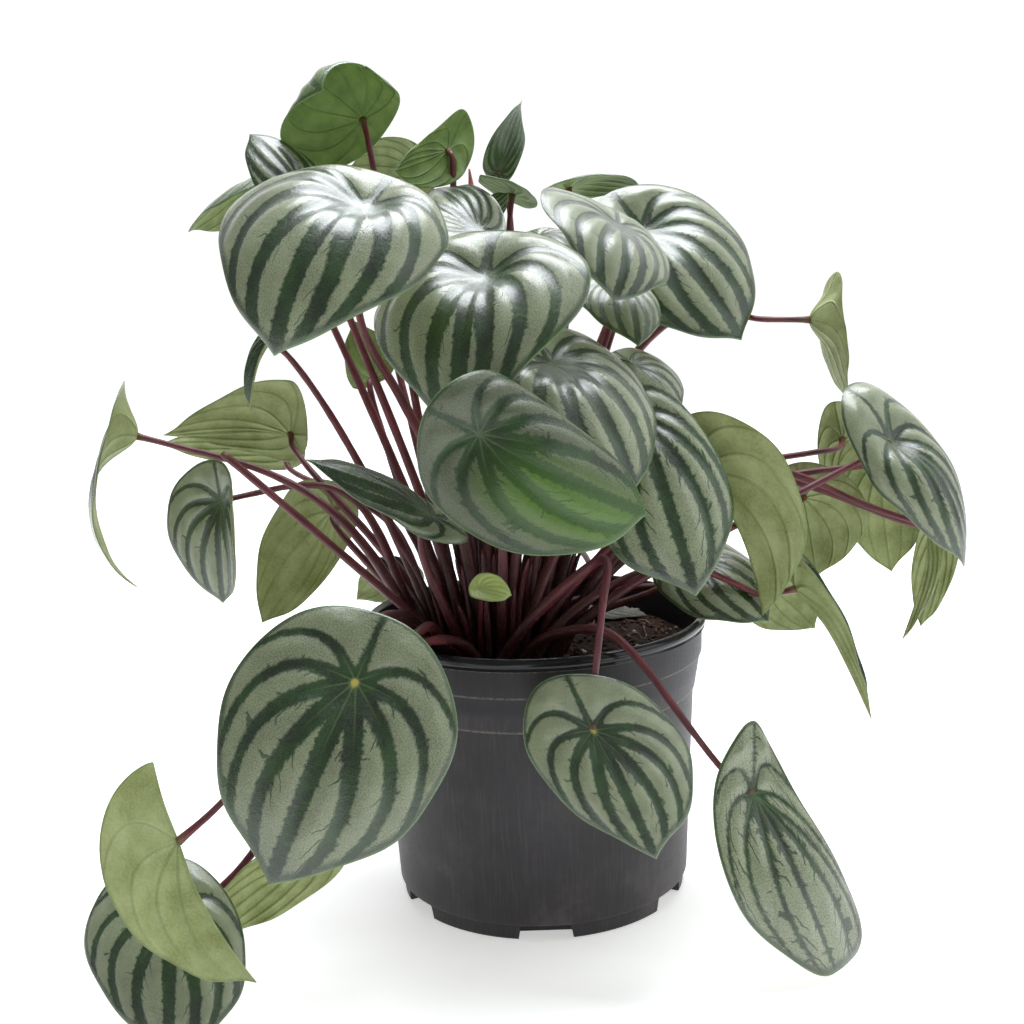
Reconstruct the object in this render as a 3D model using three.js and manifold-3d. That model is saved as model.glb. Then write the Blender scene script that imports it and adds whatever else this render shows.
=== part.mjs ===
// Potted peperomia: shield-shaped leaves on red stalks, rooted in soil in a round nursery pot.
// Millimetres, +Z up, origin at the centre of the pot's underside, front of the plant towards -Y.
import * as THREE from "three";
import { mergeVertices } from "three/addons/utils/BufferGeometryUtils.js";
import Module from "manifold-3d";

const wasm = await Module();
wasm.setup();

// Pot
const POT_HEIGHT = 128;
const POT_WALL = 1.8;
const POT_FLOOR = 3;
const POT_SIDES = 40;
const LIP_RADIUS = 77.5;
const LIP_HEIGHT = 5.5;
const FOOT_RADIUS = 64.8;
const FOOT_HEIGHT = 6.5;
const WALL_BASE_RADIUS = 66.6;
const STEP_Z = 95;
const STEP_RADIUS = 71;
const BAND_Z = 110.7;
const BAND_RADIUS = 74.4;
const NOTCHES = 6;
const NOTCH_WIDTH = 24;
const NOTCH_HEIGHT = 7;
const NOTCH_DEPTH = 9;

// Soil and crown
const SOIL_Z = 114;
const SOIL_GAP = 0.35;
const ROOT_DEPTH = 4;
const HOLE_GAP = 0.35;
const HOLE_SIDES = 6;
const CROWN = [-18, -16];
const RINGS = [
  [0, 1],
  [8, 5],
  [15.6, 11],
  [23.2, 17],
  [30.8, 23],
];

// Leaves and stalks
const BLADE = 1.0;
const STALK_BASE = 3.1;
const STALK_TOP = 1.25;
const STALK_TAPER = 1.7;
const STALK_SIDES = 5;
const STALK_POINTS = 9;
const STALK_GAP = 0.6;
const SETTLE_ROUNDS = 240;
const TUCK_START = 0.5;

const PLAIN = {
  width: 0.56,
  right: 1,
  lobe: 0.08,
  lobeR: null,
  base: 1,
  skew: 0,
  sway: 0,
  curlL: 25,
  curlR: 25,
  fold: 0,
  bend: 30,
  tuck: 0,
  funnel: 0.06,
  drip: 0.11,
  twist: 0,
  stem: 1,
  reach: 22,
  sectors: 11,
  rings: 3,
  via: [],
};

// Each leaf: where its stalk meets it, its tip, the way its upper side faces, and how it is bent.
const LEAVES = [
  { id: "01", hub: [-67, 16, 348], tip: [-80, -16, 358], face: [-0.68, 0.4, 0.64], width: 0.74,
    curlL: 10, curlR: 95, bend: 50, tuck: 85, right: 1, lobe: 0.05, base: 0.75 },
  { id: "02", hub: [-88, -17, 312], tip: [-115, 4, 343], face: [-0.2, -0.4, 0.85], width: 0.34,
    curlL: 40, curlR: 40 },
  { id: "02b", hub: [-114, 24, 323], tip: [-145, 9, 303], face: [-0.3, 0.35, 0.9], width: 0.5,
    curlL: 60, curlR: 60 },
  { id: "03", hub: [-60, -64, 309], tip: [-94, -97, 255], face: [-0.15, -0.75, 0.65],
    width: 0.84, right: 0.74, curlL: 35, curlR: 50, bend: 70, funnel: 0.15, lobe: 0.2,
    sectors: 16, via: [[-68, -4, 246], [-71, -34, 272]], base: 0.75 },
  { id: "04", hub: [-49, 75, 327], tip: [-81, 90, 332], face: [0, 0.95, 0.3], width: 0.55,
    right: 0.85 },
  { id: "05", hub: [-31, 27, 334], tip: [-48, 5, 314], face: [-0.4, 0.9, -0.3], width: 0.36,
    curlL: 20, curlR: 50, base: 1.8, bend: 20, funnel: 0.03, sway: 0.4, via: [[-33, 38, 288]],
    reach: 10 },
  { id: "07", hub: [-18, -9, 299], tip: [-39, 26, 317], face: [0, -0.6, 0.8], width: 0.3,
    right: 1.8, curlL: -30, curlR: -20 },
  { id: "08", hub: [-15, -52, 280], tip: [-26, -84, 220], face: [-0.2, -0.75, 0.6], width: 0.8,
    right: 0.8, curlL: 50, curlR: 25, bend: 62, funnel: 0.15, lobe: 0.45, base: 1.0,
    sectors: 16 },
  { id: "09", hub: [-8, 38, 325], tip: [1, 42, 356], face: [-0.3, -0.9, 0.1], width: 0.25,
    curlL: -20, curlR: -20, base: 0.6, twist: 100 },
  { id: "10", hub: [-3, 24, 314], tip: [-16, 2, 322], face: [0.1, 0.1, 0.93], width: 0.34,
    curlL: 10, curlR: 10, right: 1.2, base: 1.9, bend: 10, funnel: 0.02 },
  { id: "11", hub: [-14, 12, 306], tip: [-5, 12, 314], face: [0.1, -0.9, 0.4], width: 0.45,
    sectors: 10, rings: 2 },
  { id: "12", hub: [-18, -110, 225], tip: [43, -95, 186], face: [0, -0.95, 0], width: 0.48,
    curlR: 90, funnel: 0.1, twist: -30, sectors: 16, via: [[-10, -48, 170]], base: 0.85 },
  { id: "13", hub: [11, -46, 244], tip: [41, -80, 196], face: [0.3, -0.62, 0.7], curlL: 35,
    curlR: 35, bend: 40, funnel: 0.1, sectors: 16 },
  { id: "14", hub: [44, -34, 220], tip: [66, -64, 149], face: [0.1, -0.9, 0.3], width: 0.36,
    lobe: -0.35 },
  { id: "15", hub: [47, 10, 237], tip: [67, -5, 216], face: [0.5, -0.7, 0.4] },
  { id: "15b", hub: [65, 10, 203], tip: [73, 12, 214], face: [-0.3, 0.6, 0.6], width: 0.5,
    stem: 0.7, sectors: 10, rings: 2 },
  { id: "16", hub: [72, -22, 192], tip: [98, -34, 132], face: [0.95, -0.25, 0.3], width: 0.52,
    fold: -65, curlL: -10, curlR: -10, right: 0.75 },
  { id: "18", hub: [71, 0, 149], tip: [103, -22, 125], face: [0.1, -0.5, 0.8], curlL: 30,
    curlR: 30 },
  { id: "19", hub: [109, 30, 129], tip: [133, 30, 107], face: [0.2, 0.9, 0.3], width: 0.6,
    via: [[66, 10, 146]], sectors: 9 },
  { id: "20", hub: [115, -20, 139], tip: [145, -35, 83], face: [0.85, -0.2, 0.4], width: 0.15,
    lobe: 0.4, fold: -60, curlL: -10, curlR: -10, bend: 8, via: [[72, -14, 174]] },
  { id: "21", hub: [124, 10, 174], tip: [130, 10, 137], face: [0.2, 0.95, 0.1], width: 0.75,
    via: [[70, 6, 178]], base: 1.35 },
  { id: "22", hub: [160, 15, 190], tip: [164, 10, 138], face: [0, 1, 0.1], via: [[106, 10, 196]],
    width: 0.42 },
  { id: "23", hub: [150, 50, 194], tip: [160, 50, 150], face: [0, 1, 0.1], width: 0.3,
    via: [[108, 26, 200]], base: 1.3 },
  { id: "24", hub: [156, -20, 203], tip: [185, -30, 149], face: [0.3, -0.6, 0.7], width: 0.4,
    lobe: 0.4, base: 1.4, curlL: 70, curlR: 30, bend: 50, funnel: 0.14, skew: -0.25,
    right: 0.85 },
  { id: "24b", hub: [185, 5, 158], tip: [175, 0, 114], face: [0.3, 0.9, -0.2], width: 0.22,
    via: [[60, -2, 192], [112, 4, 192]] },
  { id: "25", hub: [174, -15, 164], tip: [162, -20, 115], face: [0.95, -0.3, 0.1], width: 0.14,
    fold: -60, curlL: 0, curlR: 0, bend: 10, via: [[56, -10, 194], [110, -6, 198]] },
  { id: "26", hub: [130, 25, 253], tip: [147, 28, 217], face: [1, 0.15, 0.1], width: 0.42,
    base: 1.75, curlL: -20, curlR: -20, bend: -35, funnel: 0.18,
    via: [[44, 42, 236], [80, 44, 262], [104, 30, 254]] },
  { id: "27", hub: [57, 48, 295], tip: [98, 18, 245], face: [0.1, -0.75, 0.65], width: 0.55,
    funnel: 0.12, sectors: 16 },
  { id: "28", hub: [42, -9, 298], tip: [36, -42, 266], face: [0.45, -0.35, 0.75], width: 0.8,
    right: 0.7, curlL: 5, curlR: 30, bend: 35, tuck: 40, drip: 0.06, lobe: 0.2,
    via: [[15, -8, 246], [20, -8, 270]], reach: 14 },
  { id: "29", hub: [44, 8, 272], tip: [48, -24, 248], face: [0.25, -0.6, 0.6], width: 0.55,
    right: 0.7, curlL: 30 },
  { id: "30", hub: [24, 80, 317], tip: [60, 90, 316], face: [0, 0.35, 0.93], width: 0.42 },
  { id: "32", hub: [8, 0, 295], tip: [21, -25, 284], face: [0, -0.4, 0.9], sectors: 9 },
  { id: "34", hub: [-171, -10, 216], tip: [-176, -15, 150], face: [-0.95, -0.25, 0], width: 0.42,
    bend: 30, funnel: 0.26, via: [[-96, -15, 200]], tuck: 40, curlL: 10, curlR: 10 },
  { id: "35", hub: [-110, 30, 209], tip: [-167, 20, 212], face: [0, 0.95, 0.3], width: 0.22,
    right: 2, lobe: 0.6, base: 0.4, curlL: 20, curlR: 20, bend: 40 },
  { id: "35b", hub: [-119, 65, 196], tip: [-178, 60, 202], face: [0, 0.9, 0.4], width: 0.2,
    base: 0.5, via: [[-58, 22, 178]], sectors: 9 },
  { id: "36", hub: [-137, -5, 185], tip: [-139, -10, 139], face: [-0.55, -0.85, 0.05],
    width: 0.64, right: 0.75, base: 1.2, curlL: -10, curlR: -60, bend: 0,
    via: [[-70, 0, 205]] },
  { id: "37", hub: [-90, 15, 175], tip: [-124, 0, 127], face: [0.3, 0.9, 0.2], width: 0.27,
    right: 1.45, base: 0.6, curlL: 60, curlR: 20, bend: 60 },
  { id: "38", hub: [-41, -59, 185], tip: [-89, -66, 211], face: [0.1, -0.5, 0.85], width: 0.23,
    curlL: 60, curlR: 60 },
  { id: "39", hub: [-69, 20, 234], tip: [-78, 30, 260], face: [0, 0.9, 0.4], width: 0.4,
    base: 0.25 },
  { id: "40", hub: [-108, -20, 256], tip: [-118, -22, 227], face: [-0.7, -0.7, 0.1], width: 0.17,
    fold: -40, curlL: 0, curlR: 0, reach: 22 },
  { id: "41", hub: [-64, -150, 144], tip: [-96, -168, 77], face: [0.05, -0.85, 0.5], width: 0.57,
    via: [[-45, -62, 142]], sectors: 16 },
  { id: "42a", hub: [-133, -145, 84], tip: [-105, -160, 35], face: [-0.91, -0.1, -0.41],
    width: 0.46, lobe: 0.25, base: 1.55, fold: -65, curlL: -10, curlR: -10, bend: 20, reach: 10,
    via: [[-54, -58, 140], [-90, -105, 126]], funnel: 0.02 },
  { id: "42b", hub: [-141, -128, 48], tip: [-139, -158, 6], face: [0, -0.8, 0.6], width: 0.7,
    right: 0.8, lobe: 0.1, base: 1.3, curlR: 40, bend: 35, reach: 13,
    via: [[-60, -50, 160], [-96, -72, 108], [-118, -82, 40], [-150, -98, 34]], skew: 0.25 },
  { id: "43", hub: [21, -102, 106], tip: [43, -119, 60], face: [0.1, -0.9, 0.4], width: 0.5,
    lobe: 0.2, reach: 10, via: [[33, -58, 172], [29, -84, 166], [24, -92, 134]], bend: 12,
    base: 1.35, skew: 0.32, right: 1.2 },
  { id: "44", hub: [84, -95, 75], tip: [92, -119, -6], face: [0.3, -0.85, 0.4], width: 0.26,
    lobe: -0.2, lobeR: -0.6, curlL: 15, curlR: 15, reach: 10,
    via: [[20, -52, 136], [36, -79, 138], [62, -86, 96]], bend: 10, base: 1.0, sway: 0.39,
    right: 1.2, drip: 0, sectors: 14 },
  { id: "45", hub: [-93, -96, 54], tip: [-136, -110, 29], face: [0.1, 0.95, 0.2], width: 0.27,
    base: 1.0, reach: 12, via: [[-38, -60, 150], [-66, -104, 122], [-80, -114, 84]] },
  { id: "46", hub: [-22, -60, 154], tip: [-9, -61, 151], face: [-0.1, -0.75, 0.65], width: 0.5,
    curlL: -40, curlR: -40, stem: 0.6, reach: 8, sectors: 10, rings: 2 },
  { id: "47", hub: [-60, 18, 138], tip: [-70, 12, 153], face: [-0.2, -0.7, 0.5], width: 0.5,
    stem: 0.7, reach: 8, sectors: 10, rings: 2 },
  { id: "48", hub: [-64, 60, 134], tip: [-88, 66, 120], face: [0, 0.9, 0.5], width: 0.5,
    stem: 0.7, reach: 8, sectors: 10, rings: 2 },
  { id: "b1", hub: [-76, 98, 298], tip: [-96, 128, 255], face: [-0.1, 0.7, 0.7], sectors: 9 },
  { id: "b2", hub: [-28, 100, 262], tip: [-42, 135, 215], face: [-0.1, 0.8, 0.6], width: 0.6,
    funnel: 0.1, sectors: 9 },
  { id: "b3", hub: [14, 105, 225], tip: [26, 138, 175], face: [0.15, 0.85, 0.5], sectors: 9 },
  { id: "b4", hub: [-22, 104, 82], tip: [-34, 122, 34], face: [-0.1, 0.9, 0.35], reach: 12,
    via: [[-14, 56, 152], [-20, 90, 134]], bend: 10, sectors: 9 },
  { id: "b5", hub: [36, 102, 84], tip: [48, 122, 38], face: [0.15, 0.9, 0.35], reach: 12,
    via: [[14, 54, 152], [34, 88, 134]], bend: 10, sectors: 9 },
  { id: "b6", hub: [62, 90, 300], tip: [82, 122, 256], face: [0.2, 0.7, 0.7], funnel: 0.1,
    sectors: 9 },
];

// Stalks that carry no blade: one whose leaf has gone, and a thin flower spike.
const BARE = [
  { id: "bare_stalk", end: [-130, -30, 210], via: [[-60, -39, 146], [-96, -36, 180]], lift: 10,
    base: 2.3, top: 1.6 },
  { id: "flower_spike", end: [-22, 34, 326], via: [[-22, 20, 220], [-20, 32, 300]], base: 1.2,
    top: 1.3 },
];

const DRIED = {
  hub: [30, 44, 117.2],
  tip: [54, 32, 115.2],
  face: [0, 0, 1],
  width: 0.36,
  curlL: 30,
  curlR: 30,
  bend: 14,
  funnel: 0,
};

const RAD = Math.PI / 180;
const add = (a, b, s = 1) => [a[0] + b[0] * s, a[1] + b[1] * s, a[2] + b[2] * s];
const sub = (a, b) => add(a, b, -1);
const dot = (a, b) => a[0] * b[0] + a[1] * b[1] + a[2] * b[2];
const cross = (a, b) => [
  a[1] * b[2] - a[2] * b[1],
  a[2] * b[0] - a[0] * b[2],
  a[0] * b[1] - a[1] * b[0],
];
const length = (a) => Math.sqrt(dot(a, a));
const unit = (a) => add([0, 0, 0], a, 1 / length(a));
const clamp = (x, low, high) => Math.min(Math.max(x, low), high);

// A closed geometry as a solid, turned to face out.
function solid(geometry) {
  const bare = geometry.clone();
  bare.deleteAttribute("normal");
  bare.deleteAttribute("uv");
  const merged = mergeVertices(bare, 1e-3);
  const faces = [];
  for (let i = 0; i < merged.index.count; i += 3) {
    const [a, b, c] = merged.index.array.slice(i, i + 3);
    if (a !== b && b !== c && c !== a) faces.push([a, b, c]);
  }
  const make = (list) =>
    new wasm.Manifold(
      new wasm.Mesh({
        numProp: 3,
        vertProperties: new Float32Array(merged.attributes.position.array),
        triVerts: new Uint32Array(list.flat()),
      }),
    );
  const made = make(faces);
  return made.volume() < 0 ? make(faces.map(([a, b, c]) => [a, c, b])) : made;
}

// A closed profile of [radius, height], from the axis back to the axis, turned about it.
function turned(profile, sides) {
  const points = profile.map(([r, z]) => new THREE.Vector2(r, z));
  return solid(new THREE.LatheGeometry(points, sides).rotateX(Math.PI / 2));
}

// Outline of the flat leaf at angle phi from the tip, in units of the hub-to-tip length.
function outline(phi, L) {
  const c = Math.cos(phi);
  const s = Math.sin(phi);
  const drip = c > 0 ? L.drip * (1 - Math.abs(s)) ** 4 : 0;
  const ahead = 0.28 + 0.61 * c + drip;
  const lobe = s > 0 ? L.lobeR ?? L.lobe : L.lobe;
  const q = L.width * s * (1 - lobe * c) * (s > 0 ? L.right : 1);
  const p = (ahead < 0 ? ahead * L.base : ahead) + L.skew * q;
  return [p, q + L.sway * p * p];
}

// The flat leaf bent into shape: length, side and height in the same unit.
function bent(p, q, L) {
  const side = q < 0 ? -1 : 1;
  const half = L.width * (q < 0 ? 1 : L.right);
  const fold = L.fold * RAD;
  let k = ((q < 0 ? L.curlL : L.curlR) * RAD) / half;
  if (Math.abs(k) < 1e-4) k = 1e-4;
  const u = Math.abs(q);
  const flat = (side * (Math.sin(fold + k * u) - Math.sin(fold))) / k;
  let rise = (Math.cos(fold + k * u) - Math.cos(fold)) / k;
  rise += L.funnel * (1 - Math.exp(-(p * p + q * q) / 0.05));
  const turn = L.twist * RAD * p;
  const lat = flat * Math.cos(turn) - rise * Math.sin(turn);
  const h = flat * Math.sin(turn) + rise * Math.cos(turn);
  const [along, up, t] = arc(p, L);
  return [along + h * Math.sin(t), lat, up + h * Math.cos(t)];
}

// A point of the bent midline and its slope: the half towards the tip can bend more.
function arc(p, L) {
  const bend = L.bend * RAD || 1e-4;
  if (p <= TUCK_START) return [Math.sin(bend * p) / bend, (Math.cos(bend * p) - 1) / bend, bend * p];
  const tight = bend + (L.tuck * RAD) / (1 - TUCK_START) || 1e-4;
  const a = bend * TUCK_START;
  const t = a + tight * (p - TUCK_START);
  const along = Math.sin(a) / bend + (Math.sin(t) - Math.sin(a)) / tight;
  const up = (Math.cos(a) - 1) / bend + (Math.cos(t) - Math.cos(a)) / tight;
  return [along, up, t];
}

// Axes and size that carry the bent leaf from its hub to its tip.
function placed(L) {
  const [along, , up] = bent(1, 0, L);
  const chord = unit(sub(L.tip, L.hub));
  const face = unit(add(L.face, chord, -dot(L.face, chord)));
  const g = Math.atan2(up, along);
  const size = length(sub(L.tip, L.hub)) / Math.hypot(along, up);
  const P = add(add([0, 0, 0], chord, Math.cos(g)), face, -Math.sin(g));
  const N = add(add([0, 0, 0], chord, Math.sin(g)), face, Math.cos(g));
  const Q = cross(N, P);
  return { size, P, Q, N };
}

// Middle surface of a leaf: the hub, then rings of points out to the edge.
function surface(L) {
  const { size, P, Q, N } = placed(L);
  const points = [L.hub];
  for (let i = 1; i <= L.rings; i++) {
    for (let j = 0; j < L.sectors; j++) {
      const [p, q] = outline((2 * Math.PI * j) / L.sectors, L);
      const rho = i / L.rings;
      const [a, b, c] = bent(p * rho, q * rho, L);
      points.push(add(add(add(L.hub, P, a * size), Q, b * size), N, c * size));
    }
  }
  const faces = [];
  for (let j = 0; j < L.sectors; j++) {
    const k = (j + 1) % L.sectors;
    faces.push([0, 1 + j, 1 + k]);
    for (let i = 0; i + 1 < L.rings; i++) {
      const a = 1 + i * L.sectors;
      const b = a + L.sectors;
      faces.push([a + j, b + j, b + k], [a + j, b + k, a + k]);
    }
  }
  return { points, faces };
}

// A blade of even thickness, both faces split into the same triangles.
function blade(L) {
  const { points, faces } = surface(L);
  const normals = points.map(() => [0, 0, 0]);
  faces.forEach(([a, b, c]) => {
    const n = unit(cross(sub(points[b], points[a]), sub(points[c], points[a])));
    [a, b, c].forEach((v) => (normals[v] = add(normals[v], n)));
  });
  const over = points.map((p, i) => add(p, unit(normals[i]), BLADE / 2));
  const under = points.map((p, i) => add(p, unit(normals[i]), -BLADE / 2));
  const n = points.length;
  const skin = faces.flatMap(([a, b, c]) => [
    [a, b, c],
    [a + n, c + n, b + n],
  ]);
  const edge = n - L.sectors;
  for (let j = 0; j < L.sectors; j++) {
    const a = edge + j;
    const b = edge + ((j + 1) % L.sectors);
    skin.push([a, a + n, b + n], [a, b + n, b]);
  }
  const geometry = new THREE.BufferGeometry();
  const places = new Float32Array([...over, ...under].flat());
  geometry.setAttribute("position", new THREE.BufferAttribute(places, 3));
  geometry.setIndex(skin.flat());
  return solid(geometry);
}

// Points along a clamped cubic B-spline.
function spline(control, count) {
  const m = control.length - 1;
  const k = Math.min(3, m);
  const knots = Array(k).fill(0);
  for (let i = 0; i <= m - k + 1; i++) knots.push(i / (m - k + 1));
  for (let i = 0; i < k; i++) knots.push(1);
  const out = [];
  for (let s = 0; s < count; s++) {
    const t = s / (count - 1);
    let j = k;
    while (j < m && t >= knots[j + 1]) j++;
    const d = [];
    for (let i = 0; i <= k; i++) d.push(control[i + j - k]);
    for (let r = 1; r <= k; r++) {
      for (let i = k; i >= r; i--) {
        const low = knots[i + j - k];
        const high = knots[i + 1 + j - r];
        const w = high === low ? 0 : (t - low) / (high - low);
        d[i] = add(add([0, 0, 0], d[i - 1], 1 - w), d[i], w);
      }
    }
    out.push(d[k]);
  }
  return out;
}

// Where each stalk leaves the crown: the steepest stalks in the middle, the rest in rings around
// them in the order of their directions.
function rootPlaces(ends) {
  const seen = ends.map((end, i) => {
    const x = end[0] - CROWN[0];
    const y = end[1] - CROWN[1];
    return { i, turn: Math.atan2(y, x), rise: Math.atan2(end[2] - SOIL_Z, Math.hypot(x, y)) };
  });
  seen.sort((a, b) => b.rise - a.rise);
  const places = [];
  let from = 0;
  RINGS.forEach(([radius, count]) => {
    const ring = seen.slice(from, from + count).sort((a, b) => a.turn - b.turn);
    from += count;
    const step = (2 * Math.PI) / ring.length;
    let x = 0;
    let y = 0;
    ring.forEach((r, i) => {
      x += Math.cos(r.turn - step * i);
      y += Math.sin(r.turn - step * i);
    });
    const start = Math.atan2(y, x);
    ring.forEach((r, i) => {
      const a = start + step * i;
      places[r.i] = [CROWN[0] + radius * Math.cos(a), CROWN[1] + radius * Math.sin(a)];
    });
  });
  return places;
}

// Centre line of a stalk from its hole in the soil to its end.
function stalkLine(root, { end, way, reach, via, lift = clamp((end[2] - SOIL_Z) * 0.45, 12, 70) }) {
  const lean = (0.35 * lift) / 30;
  const foot = [root[0], root[1], SOIL_Z + 3];
  const rise = [
    root[0] + (root[0] - CROWN[0]) * lean,
    root[1] + (root[1] - CROWN[1]) * lean,
    SOIL_Z + lift,
  ];
  const line = spline([foot, rise, ...via, add(end, way, -reach), end], STALK_POINTS - 1);
  return [[root[0], root[1], SOIL_Z - ROOT_DEPTH], ...line];
}

// Nearest points of two segments, as shares along each.
function nearest(a, b, c, d) {
  const u = sub(b, a);
  const v = sub(d, c);
  const w = sub(a, c);
  const uu = dot(u, u);
  const vv = dot(v, v);
  const uv = dot(u, v);
  const den = uu * vv - uv * uv;
  let s = den > 1e-9 ? clamp((uv * dot(v, w) - vv * dot(u, w)) / den, 0, 1) : 0.5;
  const t = clamp((uv * s + dot(v, w)) / vv, 0, 1);
  s = clamp((uv * t - dot(u, w)) / uu, 0, 1);
  return [s, t];
}

// Stalks that would pass through each other are moved aside, a little at a time, until they clear.
function settle(lines, radii) {
  const start = lines.map((line) => line.map((p) => [...p]));
  const n = STALK_POINTS;
  const held = (i) => i < 2 || i > n - 3;
  for (let round = 0; round < SETTLE_ROUNDS; round++) {
    for (let a = 0; a < lines.length; a++) {
      for (let b = a + 1; b < lines.length; b++) {
        for (let i = 1; i + 1 < n; i++) {
          for (let j = 1; j + 1 < n; j++) {
            const A = lines[a];
            const B = lines[b];
            const room = radii[a][i] + radii[b][j] + STALK_GAP;
            if (Math.abs(A[i][0] - B[j][0]) > 70 || Math.abs(A[i][2] - B[j][2]) > 70) continue;
            const [s, t] = nearest(A[i], A[i + 1], B[j], B[j + 1]);
            const p = add(A[i], sub(A[i + 1], A[i]), s);
            const q = add(B[j], sub(B[j + 1], B[j]), t);
            const gap = sub(p, q);
            const d = length(gap);
            if (d >= room) continue;
            const way = d > 1e-6 ? unit(gap) : unit(cross(sub(A[i + 1], A[i]), sub(B[j + 1], B[j])));
            const push = (room - d) * 0.5;
            if (!held(i)) A[i] = add(A[i], way, push * (1 - s));
            if (!held(i + 1)) A[i + 1] = add(A[i + 1], way, push * s);
            if (!held(j)) B[j] = add(B[j], way, -push * (1 - t));
            if (!held(j + 1)) B[j + 1] = add(B[j + 1], way, -push * t);
          }
        }
      }
    }
    lines.forEach((line, a) => {
      const moved = line.map((p, i) => sub(p, start[a][i]));
      for (let i = 2; i < n - 2; i++) {
        const mean = add(add([0, 0, 0], moved[i - 1], 0.5), moved[i + 1], 0.5);
        line[i] = add(start[a][i], add(moved[i], sub(mean, moved[i]), 0.12));
      }
    });
  }
  return lines;
}

// A tapering stalk: a cylinder whose rings are set along the centre line, the last one square to
// the way it ends.
function stalk(line, radii, way) {
  const cylinder = new THREE.CylinderGeometry(1, 1, 1, STALK_SIDES, STALK_POINTS - 1);
  let across = [1, 0, 0];
  const frames = line.map((p, i) => {
    const last = i === line.length - 1;
    const along = last ? way : i === 0 ? [0, 0, 1] : unit(sub(line[i + 1], line[i - 1]));
    across = unit(add(across, along, -dot(across, along)));
    return { p, across, other: cross(along, across) };
  });
  const position = cylinder.attributes.position;
  for (let v = 0; v < position.count; v++) {
    const i = Math.round((position.getY(v) + 0.5) * (STALK_POINTS - 1));
    const { p, across: a, other } = frames[i];
    const place = add(add(p, a, position.getX(v) * radii[i]), other, -position.getZ(v) * radii[i]);
    position.setXYZ(v, ...place);
  }
  return solid(cylinder);
}

function taper(base, top) {
  const left = (i) => (1 - i / (STALK_POINTS - 1)) ** STALK_TAPER;
  return Array.from({ length: STALK_POINTS }, (_, i) => top + (base - top) * left(i));
}

// The pot: foot band, wall with two steps, rolled lip, and drainage notches around the foot.
function pot() {
  const lip = POT_HEIGHT - LIP_HEIGHT;
  let body = turned(
    [
      [0, 0],
      [FOOT_RADIUS, 0],
      [FOOT_RADIUS + 0.4, FOOT_HEIGHT],
      [WALL_BASE_RADIUS, FOOT_HEIGHT + 1],
      [STEP_RADIUS, STEP_Z - 0.8],
      [STEP_RADIUS + 0.9, STEP_Z],
      [BAND_RADIUS, BAND_Z - 0.6],
      [BAND_RADIUS + 0.7, BAND_Z],
      [LIP_RADIUS - 1.9, lip],
      [LIP_RADIUS - 0.3, lip + 0.5],
      [LIP_RADIUS, lip + 2.5],
      [LIP_RADIUS - 0.6, POT_HEIGHT - 0.8],
      [LIP_RADIUS - 2, POT_HEIGHT],
      [LIP_RADIUS - 3.4, POT_HEIGHT - 0.8],
      [LIP_RADIUS - 4.2, lip],
      [BAND_RADIUS - POT_WALL, BAND_Z - 2],
      [STEP_RADIUS - POT_WALL, STEP_Z - 2],
      [WALL_BASE_RADIUS - POT_WALL, FOOT_HEIGHT + 4],
      [FOOT_RADIUS - POT_WALL, POT_FLOOR],
      [0, POT_FLOOR],
    ],
    POT_SIDES,
  );
  const half = NOTCH_WIDTH / 2;
  const opening = new THREE.Shape([
    new THREE.Vector2(-half, -1),
    new THREE.Vector2(half, -1),
    new THREE.Vector2(half - 1.5, NOTCH_HEIGHT),
    new THREE.Vector2(1.5 - half, NOTCH_HEIGHT),
  ]);
  for (let i = 0; i < NOTCHES; i++) {
    const notch = new THREE.ExtrudeGeometry(opening, { depth: NOTCH_DEPTH + 5, bevelEnabled: false })
      .rotateX(Math.PI / 2)
      .translate(0, NOTCH_DEPTH - FOOT_RADIUS, 0)
      .rotateZ((2 * Math.PI * i) / NOTCHES);
    body = body.subtract(solid(notch));
  }
  return body;
}

// Soil that fills the pot, with a hole for every stalk.
function soil(places, radii) {
  const low = POT_FLOOR + 1.2;
  let body = turned(
    [
      [0, NOTCH_HEIGHT + 0.5],
      [FOOT_RADIUS - POT_WALL - SOIL_GAP - 8, NOTCH_HEIGHT + 0.5],
      [WALL_BASE_RADIUS - POT_WALL - SOIL_GAP - 0.3, FOOT_HEIGHT + low],
      [STEP_RADIUS - POT_WALL - SOIL_GAP - 0.2, STEP_Z - 2],
      [BAND_RADIUS - POT_WALL - SOIL_GAP - 0.3, BAND_Z - 2],
      [BAND_RADIUS - POT_WALL - SOIL_GAP - 0.3, SOIL_Z],
      [0, SOIL_Z],
    ],
    POT_SIDES,
  );
  places.forEach(([x, y], i) => {
    const r = (radii[i] + HOLE_GAP) / Math.cos(Math.PI / HOLE_SIDES);
    const depth = ROOT_DEPTH + HOLE_GAP + 5;
    const hole = new THREE.CylinderGeometry(r, r, depth, HOLE_SIDES)
      .rotateX(Math.PI / 2)
      .translate(x, y, SOIL_Z + 5 - depth / 2);
    body = body.subtract(solid(hole));
  });
  return body;
}

const group = new THREE.Group();

function node(name, solid, colour, roughness) {
  const mesh = solid.getMesh();
  const n = mesh.numProp;
  const flat = new Float32Array(mesh.triVerts.length * 3);
  mesh.triVerts.forEach((v, i) => {
    for (let k = 0; k < 3; k++) flat[i * 3 + k] = mesh.vertProperties[v * n + k];
  });
  const geometry = new THREE.BufferGeometry();
  geometry.setAttribute("position", new THREE.BufferAttribute(flat, 3));
  geometry.computeVertexNormals();
  const material = new THREE.MeshStandardMaterial({ color: colour, roughness, metalness: 0 });
  const made = new THREE.Mesh(geometry, material);
  made.name = name;
  group.add(made);
}

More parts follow.
